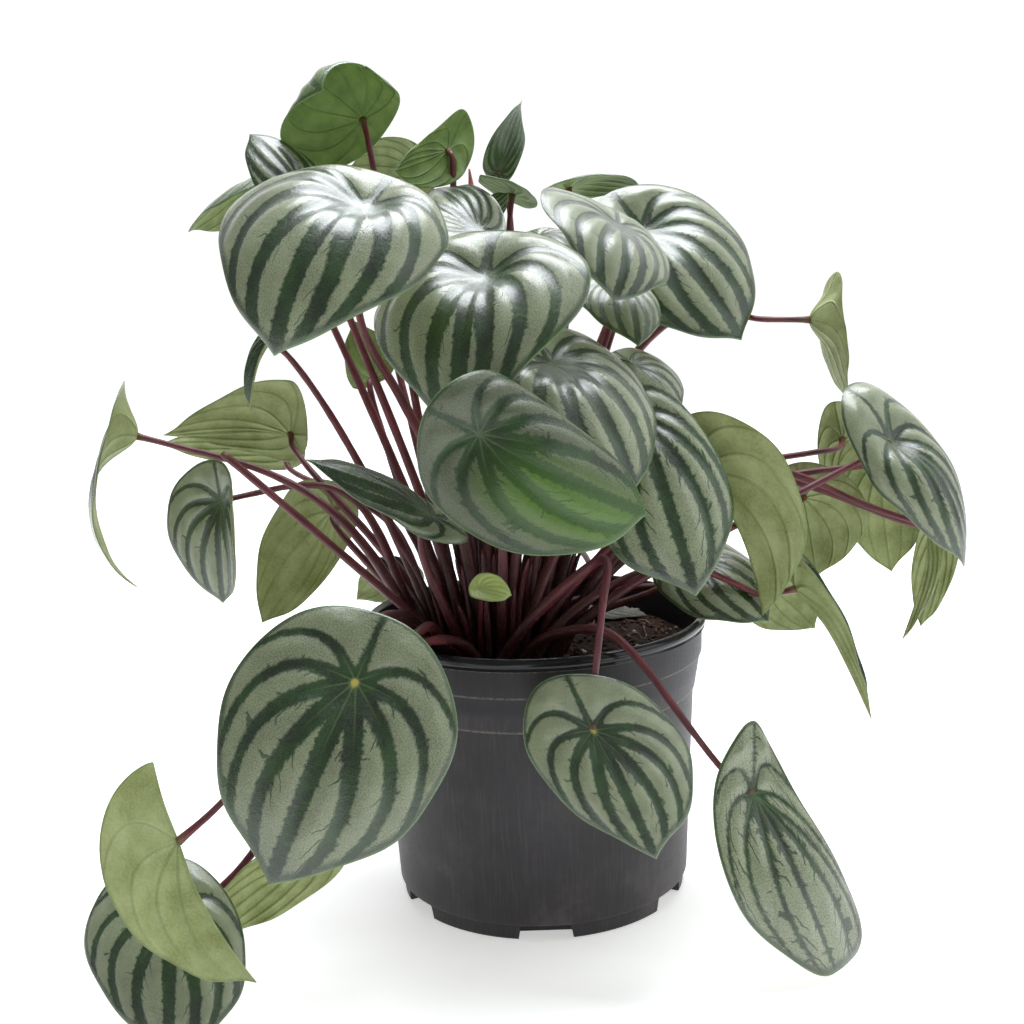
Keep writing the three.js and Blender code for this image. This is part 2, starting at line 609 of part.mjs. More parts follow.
// Every stalk is laid out first, so that all of them can be settled together.
const leaves = LEAVES.map((L) => ({ ...PLAIN, ...L }));
const stalks = [
  ...leaves.map((L) => ({
    end: L.hub,
    way: placed(L).N,
    reach: L.reach,
    via: L.via,
    radii: taper(STALK_BASE * L.stem, STALK_TOP * L.stem),
  })),
  ...BARE.map((B) => ({
    end: B.end,
    way: unit(sub(B.end, B.via[B.via.length - 1])),
    reach: 10,
    via: B.via,
    lift: B.lift,
    radii: taper(B.base, B.top),
  })),
];
const places = rootPlaces(stalks.map((s) => s.end));
const lines = settle(
  stalks.map((s, i) => stalkLine(places[i], s)),
  stalks.map((s) => s.radii),
);

node("pot", pot(), 0x3c393c, 0.45);
node("soil", soil(places, stalks.map((s) => s.radii[0])), 0x3a2a22, 0.95);
leaves.forEach((L, i) => {
  const made = blade(L).add(stalk(lines[i], stalks[i].radii, stalks[i].way));
  node("leaf_" + L.id, made, 0x6f8a6a, 0.5);
});
BARE.forEach((B, i) => {
  const k = leaves.length + i;
  node(B.id, stalk(lines[k], stalks[k].radii, stalks[k].way), 0x7a3038, 0.5);
});
node("dried_leaf", blade({ ...PLAIN, ...DRIED }), 0x9a9488, 0.8);

export default group;
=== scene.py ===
"""Potted peperomia: round striped leaves on red stalks, rooted in peat in a nursery pot."""

import math
import random

import bpy
import numpy as np
from mathutils import Matrix, Vector, noise


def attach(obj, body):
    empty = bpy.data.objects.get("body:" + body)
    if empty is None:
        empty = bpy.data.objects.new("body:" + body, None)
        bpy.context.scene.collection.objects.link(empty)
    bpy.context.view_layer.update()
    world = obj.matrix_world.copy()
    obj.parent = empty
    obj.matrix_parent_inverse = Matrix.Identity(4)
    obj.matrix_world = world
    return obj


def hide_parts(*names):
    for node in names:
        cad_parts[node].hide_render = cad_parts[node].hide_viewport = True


bl_info = {
    "name": "Potted peperomia",
    "version": (1, 0, 0),
    "blender": (4, 5, 0),
    "location": "3D View > Sidebar > Peperomia",
    "description": "Dresses the potted peperomia: pot, peat, stalks and striped leaves",
    "category": "Object",
}

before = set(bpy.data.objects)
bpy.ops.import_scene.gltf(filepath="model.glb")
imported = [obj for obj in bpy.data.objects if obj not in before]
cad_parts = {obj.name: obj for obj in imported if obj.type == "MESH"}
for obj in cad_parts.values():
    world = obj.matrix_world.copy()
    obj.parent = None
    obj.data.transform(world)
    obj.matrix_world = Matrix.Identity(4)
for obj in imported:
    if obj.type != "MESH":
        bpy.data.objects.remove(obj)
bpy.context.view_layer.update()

MM = 0.001

# Pot, in millimetres
POT_HEIGHT = 128
POT_WALL = 1.8
POT_FLOOR = 3
LIP_RADIUS = 77.5
LIP_HEIGHT = 5.5
FOOT_RADIUS = 64.8
FOOT_HEIGHT = 6.5
WALL_BASE_RADIUS = 66.6
STEP_Z = 95
STEP_RADIUS = 71
BAND_Z = 110.7
BAND_RADIUS = 74.4
NOTCHES = 6
NOTCH_WIDTH = 24
NOTCH_HEIGHT = 7
NOTCH_DEPTH = 9

# Soil and crown
SOIL_Z = 114
SOIL_RADIUS = 71.9
ROOT_DEPTH = 4
CROWN = (-18, -16)
LITTER_RADIUS = 69
PERLITE_SEEN = ((48, 54), (45, 56), (50, 51))
RINGS = ((0, 1), (8, 5), (15.6, 11), (23.2, 17), (30.8, 23))

# Thin roots on the peat: where each starts and the way it runs, in degrees
ROOT_STARTS = ((34, 2, 20), (40, 12, -35), (50, 4, 60), (44, -8, 15), (20, 20, 100),
    (-52, -20, 200), (12, -52, 300), (-10, 40, 80), (56, 24, 130))

# Feet of old stalks: how far from the crown, and from what height they stay clear of the rest
FEET_SPREAD = 30
FEET_BURIED = 7
FEET_GAP = 0.15

# Stalks
STALK_BASE = 3.1
STALK_TOP = 1.25
STALK_TAPER = 1.7
STALK_POINTS = 9
STALK_STEPS = 6
STALK_GAP = 0.6
SETTLE_ROUNDS = 240
CLOSE_BY = 4
TUCK_START = 0.5

PLAIN = dict(width=0.56, right=1, lobe=0.08, lobe_r=None, base=1, skew=0, sway=0, curl_l=25,
    curl_r=25, fold=0, bend=30, tuck=0, funnel=0.06, drip=0.11, twist=0, stem=1, reach=22, via=())

# Each leaf: where its stalk meets it, its tip, the way its upper side faces, and how it is bent.
LEAVES = {
    "01": dict(hub=(-67, 16, 348), tip=(-80, -16, 358), face=(-0.68, 0.4, 0.64), width=0.74,
        curl_l=10, curl_r=95, bend=50, tuck=85, right=1, lobe=0.05, base=0.75),
    "02": dict(hub=(-88, -17, 312), tip=(-115, 4, 343), face=(-0.2, -0.4, 0.85), width=0.34,
        curl_l=40, curl_r=40),
    "02b": dict(hub=(-114, 24, 323), tip=(-145, 9, 303), face=(-0.3, 0.35, 0.9), width=0.5,
        curl_l=60, curl_r=60),
    "03": dict(hub=(-60, -64, 309), tip=(-94, -97, 255), face=(-0.15, -0.75, 0.65), width=0.84,
        right=0.74, curl_l=35, curl_r=50, bend=70, funnel=0.15, lobe=0.2,
        via=((-68, -4, 246), (-71, -34, 272)), base=0.75),
    "04": dict(hub=(-49, 75, 327), tip=(-81, 90, 332), face=(0, 0.95, 0.3), width=0.55,
        right=0.85),
    "05": dict(hub=(-31, 27, 334), tip=(-48, 5, 314), face=(-0.4, 0.9, -0.3), width=0.36,
        curl_l=20, curl_r=50, base=1.8, bend=20, funnel=0.03, sway=0.4, via=((-33, 38, 288),),
        reach=10),
    "07": dict(hub=(-18, -9, 299), tip=(-39, 26, 317), face=(0, -0.6, 0.8), width=0.3, right=1.8,
        curl_l=-30, curl_r=-20),
    "08": dict(hub=(-15, -52, 280), tip=(-26, -84, 220), face=(-0.2, -0.75, 0.6), width=0.8,
        right=0.8, curl_l=50, curl_r=25, bend=62, funnel=0.15, lobe=0.45, base=1.0),
    "09": dict(hub=(-8, 38, 325), tip=(1, 42, 356), face=(-0.3, -0.9, 0.1), width=0.25,
        curl_l=-20, curl_r=-20, base=0.6, twist=100),
    "10": dict(hub=(-3, 24, 314), tip=(-16, 2, 322), face=(0.1, 0.1, 0.93), width=0.34, curl_l=10,
        curl_r=10, right=1.2, base=1.9, bend=10, funnel=0.02),
    "11": dict(hub=(-14, 12, 306), tip=(-5, 12, 314), face=(0.1, -0.9, 0.4), width=0.45),
    "12": dict(hub=(-18, -110, 225), tip=(43, -95, 186), face=(0, -0.95, 0), width=0.48,
        curl_r=90, funnel=0.1, twist=-30, via=((-10, -48, 170),), base=0.85),
    "13": dict(hub=(11, -46, 244), tip=(41, -80, 196), face=(0.3, -0.62, 0.7), curl_l=35,
        curl_r=35, bend=40, funnel=0.1),
    "14": dict(hub=(44, -34, 220), tip=(66, -64, 149), face=(0.1, -0.9, 0.3), width=0.36,
        lobe=-0.35),
    "15": dict(hub=(47, 10, 237), tip=(67, -5, 216), face=(0.5, -0.7, 0.4)),
    "15b": dict(hub=(65, 10, 203), tip=(73, 12, 214), face=(-0.3, 0.6, 0.6), width=0.5, stem=0.7),
    "16": dict(hub=(72, -22, 192), tip=(98, -34, 132), face=(0.95, -0.25, 0.3), width=0.52,
        fold=-65, curl_l=-10, curl_r=-10, right=0.75),
    "18": dict(hub=(71, 0, 149), tip=(103, -22, 125), face=(0.1, -0.5, 0.8), curl_l=30,
        curl_r=30),
    "19": dict(hub=(109, 30, 129), tip=(133, 30, 107), face=(0.2, 0.9, 0.3), width=0.6,
        via=((66, 10, 146),)),
    "20": dict(hub=(115, -20, 139), tip=(145, -35, 83), face=(0.85, -0.2, 0.4), width=0.15,
        lobe=0.4, fold=-60, curl_l=-10, curl_r=-10, bend=8, via=((72, -14, 174),)),
    "21": dict(hub=(124, 10, 174), tip=(130, 10, 137), face=(0.2, 0.95, 0.1), width=0.75,
        via=((70, 6, 178),), base=1.35),
    "22": dict(hub=(160, 15, 190), tip=(164, 10, 138), face=(0, 1, 0.1), via=((106, 10, 196),),
        width=0.42),
    "23": dict(hub=(150, 50, 194), tip=(160, 50, 150), face=(0, 1, 0.1), width=0.3,
        via=((108, 26, 200),), base=1.3),
    "24": dict(hub=(156, -20, 203), tip=(185, -30, 149), face=(0.3, -0.6, 0.7), width=0.4,
        lobe=0.4, base=1.4, curl_l=70, curl_r=30, bend=50, funnel=0.14, skew=-0.25, right=0.85),
    "24b": dict(hub=(185, 5, 158), tip=(175, 0, 114), face=(0.3, 0.9, -0.2), width=0.22,
        via=((60, -2, 192), (112, 4, 192))),
    "25": dict(hub=(174, -15, 164), tip=(162, -20, 115), face=(0.95, -0.3, 0.1), width=0.14,
        fold=-60, curl_l=0, curl_r=0, bend=10, via=((56, -10, 194), (110, -6, 198))),
    "26": dict(hub=(130, 25, 253), tip=(147, 28, 217), face=(1, 0.15, 0.1), width=0.42, base=1.75,
        curl_l=-20, curl_r=-20, bend=-35, funnel=0.18,
        via=((44, 42, 236), (80, 44, 262), (104, 30, 254))),
    "27": dict(hub=(57, 48, 295), tip=(98, 18, 245), face=(0.1, -0.75, 0.65), width=0.55,
        funnel=0.12),
    "28": dict(hub=(42, -9, 298), tip=(36, -42, 266), face=(0.45, -0.35, 0.75), width=0.8,
        right=0.7, curl_l=5, curl_r=30, bend=35, tuck=40, drip=0.06, lobe=0.2,
        via=((15, -8, 246), (20, -8, 270)), reach=14),
    "29": dict(hub=(44, 8, 272), tip=(48, -24, 248), face=(0.25, -0.6, 0.6), width=0.55,
        right=0.7, curl_l=30),
    "30": dict(hub=(24, 80, 317), tip=(60, 90, 316), face=(0, 0.35, 0.93), width=0.42),
    "32": dict(hub=(8, 0, 295), tip=(21, -25, 284), face=(0, -0.4, 0.9)),
    "34": dict(hub=(-171, -10, 216), tip=(-176, -15, 150), face=(-0.95, -0.25, 0), width=0.42,
        bend=30, funnel=0.26, via=((-96, -15, 200),), tuck=40, curl_l=10, curl_r=10),
    "35": dict(hub=(-110, 30, 209), tip=(-167, 20, 212), face=(0, 0.95, 0.3), width=0.22, right=2,
        lobe=0.6, base=0.4, curl_l=20, curl_r=20, bend=40),
    "35b": dict(hub=(-119, 65, 196), tip=(-178, 60, 202), face=(0, 0.9, 0.4), width=0.2, base=0.5,
        via=((-58, 22, 178),)),
    "36": dict(hub=(-137, -5, 185), tip=(-139, -10, 139), face=(-0.55, -0.85, 0.05), width=0.64,
        right=0.75, base=1.2, curl_l=-10, curl_r=-60, bend=0, via=((-70, 0, 205),)),
    "37": dict(hub=(-90, 15, 175), tip=(-124, 0, 127), face=(0.3, 0.9, 0.2), width=0.27,
        right=1.45, base=0.6, curl_l=60, curl_r=20, bend=60),
    "38": dict(hub=(-41, -59, 185), tip=(-89, -66, 211), face=(0.1, -0.5, 0.85), width=0.23,
        curl_l=60, curl_r=60),
    "39": dict(hub=(-69, 20, 234), tip=(-78, 30, 260), face=(0, 0.9, 0.4), width=0.4, base=0.25),
    "40": dict(hub=(-108, -20, 256), tip=(-118, -22, 227), face=(-0.7, -0.7, 0.1), width=0.17,
        fold=-40, curl_l=0, curl_r=0, reach=22),
    "41": dict(hub=(-64, -150, 144), tip=(-96, -168, 77), face=(0.05, -0.85, 0.5), width=0.57,
        via=((-45, -62, 142),)),
    "42a": dict(hub=(-133, -145, 84), tip=(-105, -160, 35), face=(-0.91, -0.1, -0.41), width=0.46,
        lobe=0.25, base=1.55, fold=-65, curl_l=-10, curl_r=-10, bend=20, reach=10,
        via=((-54, -58, 140), (-90, -105, 126)), funnel=0.02),
    "42b": dict(hub=(-141, -128, 48), tip=(-139, -158, 6), face=(0, -0.8, 0.6), width=0.7,
        right=0.8, lobe=0.1, base=1.3, curl_r=40, bend=35, reach=13,
        via=((-60, -50, 160), (-96, -72, 108), (-118, -82, 40), (-150, -98, 34)), skew=0.25),
    "43": dict(hub=(21, -102, 106), tip=(43, -119, 60), face=(0.1, -0.9, 0.4), width=0.5,
        lobe=0.2, reach=10, via=((33, -58, 172), (29, -84, 166), (24, -92, 134)), bend=12,
        base=1.35, skew=0.32, right=1.2),
    "44": dict(hub=(84, -95, 75), tip=(92, -119, -6), face=(0.3, -0.85, 0.4), width=0.26,
        lobe=-0.2, lobe_r=-0.6, curl_l=15, curl_r=15, reach=10,
        via=((20, -52, 136), (36, -79, 138), (62, -86, 96)), bend=10, base=1, sway=0.39,
        right=1.2, drip=0),
    "45": dict(hub=(-93, -96, 54), tip=(-136, -110, 29), face=(0.1, 0.95, 0.2), width=0.27,
        base=1, reach=12, via=((-38, -60, 150), (-66, -104, 122), (-80, -114, 84))),
    "46": dict(hub=(-22, -60, 154), tip=(-9, -61, 151), face=(-0.1, -0.75, 0.65), width=0.5,
        curl_l=-40, curl_r=-40, stem=0.6, reach=8),
    "47": dict(hub=(-60, 18, 138), tip=(-70, 12, 153), face=(-0.2, -0.7, 0.5), width=0.5,
        stem=0.7, reach=8),
    "48": dict(hub=(-64, 60, 134), tip=(-88, 66, 120), face=(0, 0.9, 0.5), width=0.5, stem=0.7,
        reach=8),
    "b1": dict(hub=(-76, 98, 298), tip=(-96, 128, 255), face=(-0.1, 0.7, 0.7)),
    "b2": dict(hub=(-28, 100, 262), tip=(-42, 135, 215), face=(-0.1, 0.8, 0.6), width=0.6,
        funnel=0.1),
    "b3": dict(hub=(14, 105, 225), tip=(26, 138, 175), face=(0.15, 0.85, 0.5)),
    "b4": dict(hub=(-22, 104, 82), tip=(-34, 122, 34), face=(-0.1, 0.9, 0.35), reach=12,
        via=((-14, 56, 152), (-20, 90, 134)), bend=10),
    "b5": dict(hub=(36, 102, 84), tip=(48, 122, 38), face=(0.15, 0.9, 0.35), reach=12,
        via=((14, 54, 152), (34, 88, 134)), bend=10),
    "b6": dict(hub=(62, 90, 300), tip=(82, 122, 256), face=(0.2, 0.7, 0.7), funnel=0.1),
}

# Where the photograph was taken from, in millimetres and radians, and the studio lamps
CAMERA_AT = (0, -655.2, 299.4)
CAMERA_PITCH, CAMERA_ROLL, CAMERA_YAW = 0.18886, -0.03921, -0.01275
LAMP_AIM = (0, 0, 0.2)
LAMP_COLOUR = (0.92, 0.96, 1.0)
PAPER_RADIUS = 3000
BRIGHT_SIDE = (0.35, 0.9, 0.25)

# Stalks that carry no blade: one whose leaf has gone, and a thin flower spike.
BARE = {
    "bare_stalk": dict(end=(-130, -30, 210), via=((-60, -39, 146), (-96, -36, 180)), lift=10,
        base=2.3, top=1.6),
    "flower_spike": dict(end=(-22, 34, 326), via=((-22, 20, 220), (-20, 32, 300)), base=1.2,
        top=1.3),
}

DRIED = dict(hub=(30, 44, 117.2), tip=(54, 32, 115.2), face=(0, 0, 1), width=0.36,
    curl_l=30, curl_r=30, bend=14, funnel=0)

# Painted backlight: bright green, from 0 to 1, painted on the leaves that the light shines through;
# over 1 also the own pale green of a new leaf.
BACKLIT_AND_YOUNG = {"01": 0.85, "04": 0.35, "05": 0.8, "09": 0.6, "10": 0.85, "30": 0.8, "39": 0.5,
    "46": 1.3, "11": 0.5, "02b": 0.5, "29": 0.3}

# Width of the dark bands against the usual.
BOLD = {"03": 1.35, "08": 1.35, "28": 1.2, "27": 1.1, "13": 1.15, "12": 0.9, "44": 0.4, "24": 0.85,
    "14": 0.8, "42b": 1.15}

# Leaves painted darker, as painted shade, and given less coat than the usual.
SHADE_AND_MATT = {"12": 0.7, "41": 0.15, "38": 0.3, "08": 0.15}

# Leaves with a pale eye where the stalk meets them.
PALE_EYED = ("41", "43", "42b")

# Veins: the angle at the hub and at the margin, from the tip round to the back.
VEIN_START = (0, 40, 80, 117, 151, 180)
VEIN_END = (0, 13, 31, 60, 112, 180)
VEIN_TURN = 3.2


def unit(a):
    a = np.asarray(a, float)
    return a / np.linalg.norm(a)


def leaf_shape(name):
    return {**PLAIN, **LEAVES[name]}


def outline(phi, leaf):
    """Outline of the flat leaf at angle phi from the tip, in hub-to-tip lengths."""
    c, s = np.cos(phi), np.sin(phi)
    drip = np.where(c > 0, leaf["drip"] * (1 - np.abs(s)) ** 4, 0)
    ahead = 0.28 + 0.61 * c + drip
    lobe_r = leaf["lobe"] if leaf["lobe_r"] is None else leaf["lobe_r"]
    lobe = np.where(s > 0, lobe_r, leaf["lobe"])
    q = leaf["width"] * s * (1 - lobe * c) * np.where(s > 0, leaf["right"], 1)
    p = np.where(ahead < 0, ahead * leaf["base"], ahead) + leaf["skew"] * q
    return p, q + leaf["sway"] * p * p


def arc(p, leaf):
    """A point of the bent midline and its slope: the half towards the tip can bend more."""
    bend = math.radians(leaf["bend"]) or 1e-4
    tight = bend + math.radians(leaf["tuck"]) / (1 - TUCK_START) or 1e-4
    near = np.minimum(p, TUCK_START) * bend
    slope = near + np.maximum(p - TUCK_START, 0) * tight
    along = np.sin(near) / bend + (np.sin(slope) - np.sin(near)) / tight
    up = (np.cos(near) - 1) / bend + (np.cos(slope) - np.cos(near)) / tight
    return along, up, slope


def bent(p, q, leaf):
    """The flat leaf bent into shape: length, side and height."""
    p, q = np.asarray(p, float), np.asarray(q, float)
    left = q < 0
    half = np.where(left, leaf["width"], leaf["width"] * leaf["right"])
    fold = math.radians(leaf["fold"])
    k = np.radians(np.where(left, leaf["curl_l"], leaf["curl_r"])) / half
    k = np.where(np.abs(k) < 1e-4, 1e-4, k)
    u = np.abs(q)
    flat = np.where(left, -1, 1) * (np.sin(fold + k * u) - np.sin(fold)) / k
    rise = (np.cos(fold + k * u) - np.cos(fold)) / k
    rise = rise + leaf["funnel"] * (1 - np.exp(-(p * p + q * q) / 0.05))
    turn = math.radians(leaf["twist"]) * p
    lat = flat * np.cos(turn) - rise * np.sin(turn)
    h = flat * np.sin(turn) + rise * np.cos(turn)
    along, up, slope = arc(p, leaf)
    return along + h * np.sin(slope), lat, up + h * np.cos(slope)


def placed(leaf):
    """Size and axes that carry the bent leaf from its hub to its tip."""
    along, _, up = (float(v) for v in bent(1, 0, leaf))
    reach = np.subtract(leaf["tip"], leaf["hub"]).astype(float)
    chord = unit(reach)
    face = unit(np.array(leaf["face"], float) - chord * np.dot(leaf["face"], chord))
    g = math.atan2(up, along)
    size = np.linalg.norm(reach) / math.hypot(along, up)
    ahead = chord * math.cos(g) - face * math.sin(g)
    out = chord * math.sin(g) + face * math.cos(g)
    return size, ahead, np.cross(out, ahead), out


def spline(control, count):
    """Points along a clamped cubic B-spline."""
    control = [np.array(c, float) for c in control]
    m = len(control) - 1
    k = min(3, m)
    knots = [0.0] * k + [i / (m - k + 1) for i in range(m - k + 2)] + [1.0] * k
    out = []
    for s in range(count):
        t = s / (count - 1)
        j = k
        while j < m and t >= knots[j + 1]:
            j += 1
        d = [control[i + j - k] for i in range(k + 1)]
        for r in range(1, k + 1):
            for i in range(k, r - 1, -1):
                low, high = knots[i + j - k], knots[i + 1 + j - r]
                w = 0 if high == low else (t - low) / (high - low)
                d[i] = d[i - 1] * (1 - w) + d[i] * w
        out.append(d[k])
    return out


def root_places(ends):
    """Where each stalk leaves the crown: steep ones in the middle, the rest in rings."""
    seen = []
    for i, (x, y, z) in enumerate(ends):
        x, y = x - CROWN[0], y - CROWN[1]
        seen.append((math.atan2(z - SOIL_Z, math.hypot(x, y)), math.atan2(y, x), i))
    seen.sort(key=lambda s: -s[0])
    places = [None] * len(ends)
    begin = 0
    for radius, count in RINGS:
        ring = sorted(seen[begin : begin + count], key=lambda s: s[1])
        begin += count
        step = 2 * math.pi / len(ring)
        x = sum(math.cos(turn - step * i) for i, (_, turn, _) in enumerate(ring))
        y = sum(math.sin(turn - step * i) for i, (_, turn, _) in enumerate(ring))
        start = math.atan2(y, x)
        for i, (_, _, index) in enumerate(ring):
            a = start + step * i
            places[index] = (CROWN[0] + radius * math.cos(a), CROWN[1] + radius * math.sin(a))
    return places


def stalk_line(root, end, way, reach, via, lift=None):
    """Centre line of a stalk from its hole in the soil to its end."""
    if lift is None:
        lift = min(max((end[2] - SOIL_Z) * 0.45, 12), 70)
    lean = 0.35 * lift / 30
    foot = (root[0], root[1], SOIL_Z + 3)
    rise = (root[0] + (root[0] - CROWN[0]) * lean, root[1] + (root[1] - CROWN[1]) * lean,
        SOIL_Z + lift)
    last = np.array(end, float) - way * reach
    line = spline([foot, rise, *via, last, end], STALK_POINTS - 1)
    return np.array([(root[0], root[1], SOIL_Z - ROOT_DEPTH), *line])


def nearest(a, b, c, d):
    """Nearest points of segments a-b and c-d, as shares along each; works on arrays."""
    u, v, w = b - a, d - c, a - c
    uu, vv, uv = (u * u).sum(-1), (v * v).sum(-1), (u * v).sum(-1)
    uw, vw = (u * w).sum(-1), (v * w).sum(-1)
    den = uu * vv - uv * uv
    safe = np.where(den > 1e-9, den, 1)
    s = np.where(den > 1e-9, np.clip((uv * vw - vv * uw) / safe, 0, 1), 0.5)
    t = np.clip((uv * s + vw) / vv, 0, 1)
    return np.clip((uv * t - uw) / uu, 0, 1), t


def settle(lines, radii):
    """Stalks that would pass through each other are moved aside until they clear."""
    start = lines.copy()
    n = STALK_POINTS
    count = len(lines)
    pairs = [(a, i, b, j) for a in range(count) for b in range(a + 1, count)
        for i in range(1, n - 1) for j in range(1, n - 1)]
    A, I, B, J = np.array(pairs).T
    room = radii[A, I] + radii[B, J] + STALK_GAP
    movable = [2 <= i <= n - 3 for i in range(n)]
    for _ in range(SETTLE_ROUNDS):
        a, b, c, d = lines[A, I], lines[A, I + 1], lines[B, J], lines[B, J + 1]
        s, t = nearest(a, b, c, d)
        gap = a + (b - a) * s[:, None] - c - (d - c) * t[:, None]
        close = np.flatnonzero((gap * gap).sum(1) < (room + CLOSE_BY) ** 2)
        for k in close:
            pa, i, pb, j = pairs[k]
            first, second = lines[pa], lines[pb]
            if abs(first[i][0] - second[j][0]) > 70 or abs(first[i][2] - second[j][2]) > 70:
                continue
            u, v = first[i + 1] - first[i], second[j + 1] - second[j]
            s, t = (float(x) for x in nearest(first[i], first[i + 1], second[j], second[j + 1]))
            gap = first[i] + u * s - second[j] - v * t
            apart = math.sqrt(float(gap @ gap))
            if apart >= room[k]:
                continue
            way = gap / apart if apart > 1e-6 else unit(np.cross(u, v))
            push = (room[k] - apart) * 0.5
            for line, at, share in ((first, i, 1 - s), (first, i + 1, s)):
                if movable[at]:
                    line[at] += way * push * share
            for line, at, share in ((second, j, 1 - t), (second, j + 1, t)):
                if movable[at]:
                    line[at] -= way * push * share
        moved = lines - start
        for i in range(2, n - 2):
            mean = (moved[:, i - 1] + moved[:, i + 1]) * 0.5
            lines[:, i] = start[:, i] + moved[:, i] + (mean - moved[:, i]) * 0.12
    return lines


def taper(base, top):
    return top + (base - top) * np.linspace(1, 0, STALK_POINTS) ** STALK_TAPER


def stalk_plan():
    """Name, centre line, radii and last direction of every stalk."""
    plan = []
    for name in LEAVES:
        leaf = leaf_shape(name)
        way = placed(leaf)[3]
        stem = leaf["stem"]
        plan.append((name, taper(STALK_BASE * stem, STALK_TOP * stem), leaf["hub"], way,
            leaf["reach"], leaf["via"]))
    for name, bare in BARE.items():
        way = unit(np.subtract(bare["end"], bare["via"][-1]))
        plan.append((name, taper(bare["base"], bare["top"]), bare["end"], way, 10, bare["via"],
            bare.get("lift")))
    places = root_places([p[2] for p in plan])
    lines = np.array([stalk_line(root, *p[2:]) for root, p in zip(places, plan)])
    lines = settle(lines, np.array([p[1] for p in plan]))
    return {p[0]: (line, p[1], p[3]) for p, line in zip(plan, lines)}


# Meshes


def make_piece(name, points, faces, materials, indices=None, uv=None, fields=None):
    """A smooth mesh object from points in millimetres."""
    mesh = bpy.data.meshes.new(name)
    mesh.from_pydata((np.asarray(points, float) * MM).tolist(), [], faces)
    mesh.polygons.foreach_set("use_smooth", [True] * len(faces))
    for material in materials:
        mesh.materials.append(material)
    if indices is not None:
        mesh.polygons.foreach_set("material_index", indices)
    if uv is not None:
        layer = mesh.uv_layers.new(name="flat")
        corner = np.empty(len(mesh.loops), int)
        mesh.loops.foreach_get("vertex_index", corner)
        layer.data.foreach_set("uv", np.asarray(uv, float)[corner].ravel())
    for key, values in (fields or {}).items():
        attribute = mesh.attributes.new(key, "FLOAT", "POINT")
        attribute.data.foreach_set("value", np.asarray(values, np.float32))
    mesh.update()
    piece = bpy.data.objects.new(name, mesh)
    bpy.context.scene.collection.objects.link(piece)
    return piece


def place_piece(piece, slot, *nodes):
    """Rides on the plant and stands for these solids, which it hides; slot is not used."""
    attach(piece, "root")
    if nodes:
        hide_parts(*nodes)


def tube(line, radii, sides):
    """Points, faces, round-and-along coordinates of a tube along a line, with closed ends."""
    line = np.asarray(line, float)
    count = len(line)
    along = np.gradient(line, axis=0)
    along /= np.linalg.norm(along, axis=1)[:, None]
    length = np.concatenate([[0], np.cumsum(np.linalg.norm(np.diff(line, axis=0), axis=1))])
    across = unit(np.cross(along[0], (0.3, 0.9, 0.2)))
    points, uv, faces = [], [], []
    for i in range(count):
        across = unit(across - along[i] * np.dot(across, along[i]))
        other = np.cross(along[i], across)
        for j in range(sides):
            a = 2 * math.pi * j / sides
            points.append(line[i] + radii[i] * (across * math.cos(a) + other * math.sin(a)))
            uv.append((j / sides, length[i]))
    for i in range(count - 1):
        for j in range(sides):
            k = (j + 1) % sides
            low, high = i * sides, (i + 1) * sides
            faces.append((low + j, low + k, high + k, high + j))
    faces.append(tuple(range(sides - 1, -1, -1)))
    faces.append(tuple(range((count - 1) * sides, count * sides)))
    return points, faces, uv, np.repeat(length / length[-1], sides)


def smooth_line(points, steps):
    """A Catmull-Rom curve through the points, and the share of the way at each of its own."""
    points = np.asarray(points, float)
    padded = np.vstack([2 * points[0] - points[1], points, 2 * points[-1] - points[-2]])
    out, share = [], []
    for i in range(len(points) - 1):
        a, b, c, d = padded[i : i + 4]
        for k in range(steps):
            t = k / steps
            out.append(0.5 * (2 * b + (c - a) * t + (2 * a - 5 * b + 4 * c - d) * t * t
                + (3 * b - a - 3 * c + d) * t**3))
            share.append(i + t)
    out.append(points[-1])
    share.append(len(points) - 1)
    return np.array(out), np.array(share)


def joined(parts):
    """Several (points, faces) as one."""
    points, faces = [], []
    for part_points, part_faces in parts:
        base = len(points)
        points.extend(part_points)
        faces.extend(tuple(base + v for v in face) for face in part_faces)
    return points, faces


def disc_faces(rings, sectors):
    """Faces of a disc: a fan about point 0, then a band between each ring and the next."""
    faces = [(0, 1 + j, 1 + (j + 1) % sectors) for j in range(sectors)]
    for low in range(1, 1 + (rings - 1) * sectors, sectors):
        high = low + sectors
        for j in range(sectors):
            k = (j + 1) % sectors
            faces.append((low + j, high + j, high + k, low + k))
    return faces


def turned(profile, sides):
    """A closed profile of (radius, height) turned about the axis."""
    points, faces = [], []
    n = len(profile)
    for j in range(sides):
        a = 2 * math.pi * j / sides
        points += [(r * math.cos(a), r * math.sin(a), z) for r, z in profile]
    for j in range(sides):
        k = (j + 1) % sides
        for i in range(n - 1):
            faces.append((j * n + i, k * n + i, k * n + i + 1, j * n + i + 1))
    return points, faces


def weld(piece, gap=0.00001):
    """Joins points that lie together."""
    step = piece.modifiers.new("weld", "WELD")
    step.merge_threshold = gap
    apply_modifiers(piece)


def apply_modifiers(piece):
    """Keeps the mesh that the modifiers make, with no modifier left."""
    bpy.context.view_layer.update()
    graph = bpy.context.evaluated_depsgraph_get()
    ready = bpy.data.meshes.new_from_object(piece.evaluated_get(graph))
    old = piece.data
    piece.modifiers.clear()
    piece.data = ready
    ready.name = piece.name
    bpy.data.meshes.remove(old)


def soften(piece, degrees):
    """Smooth faces that break at sharp corners."""
    mesh = piece.data
    mesh.polygons.foreach_set("use_smooth", [True] * len(mesh.polygons))
    mesh.set_sharp_from_angle(angle=math.radians(degrees))


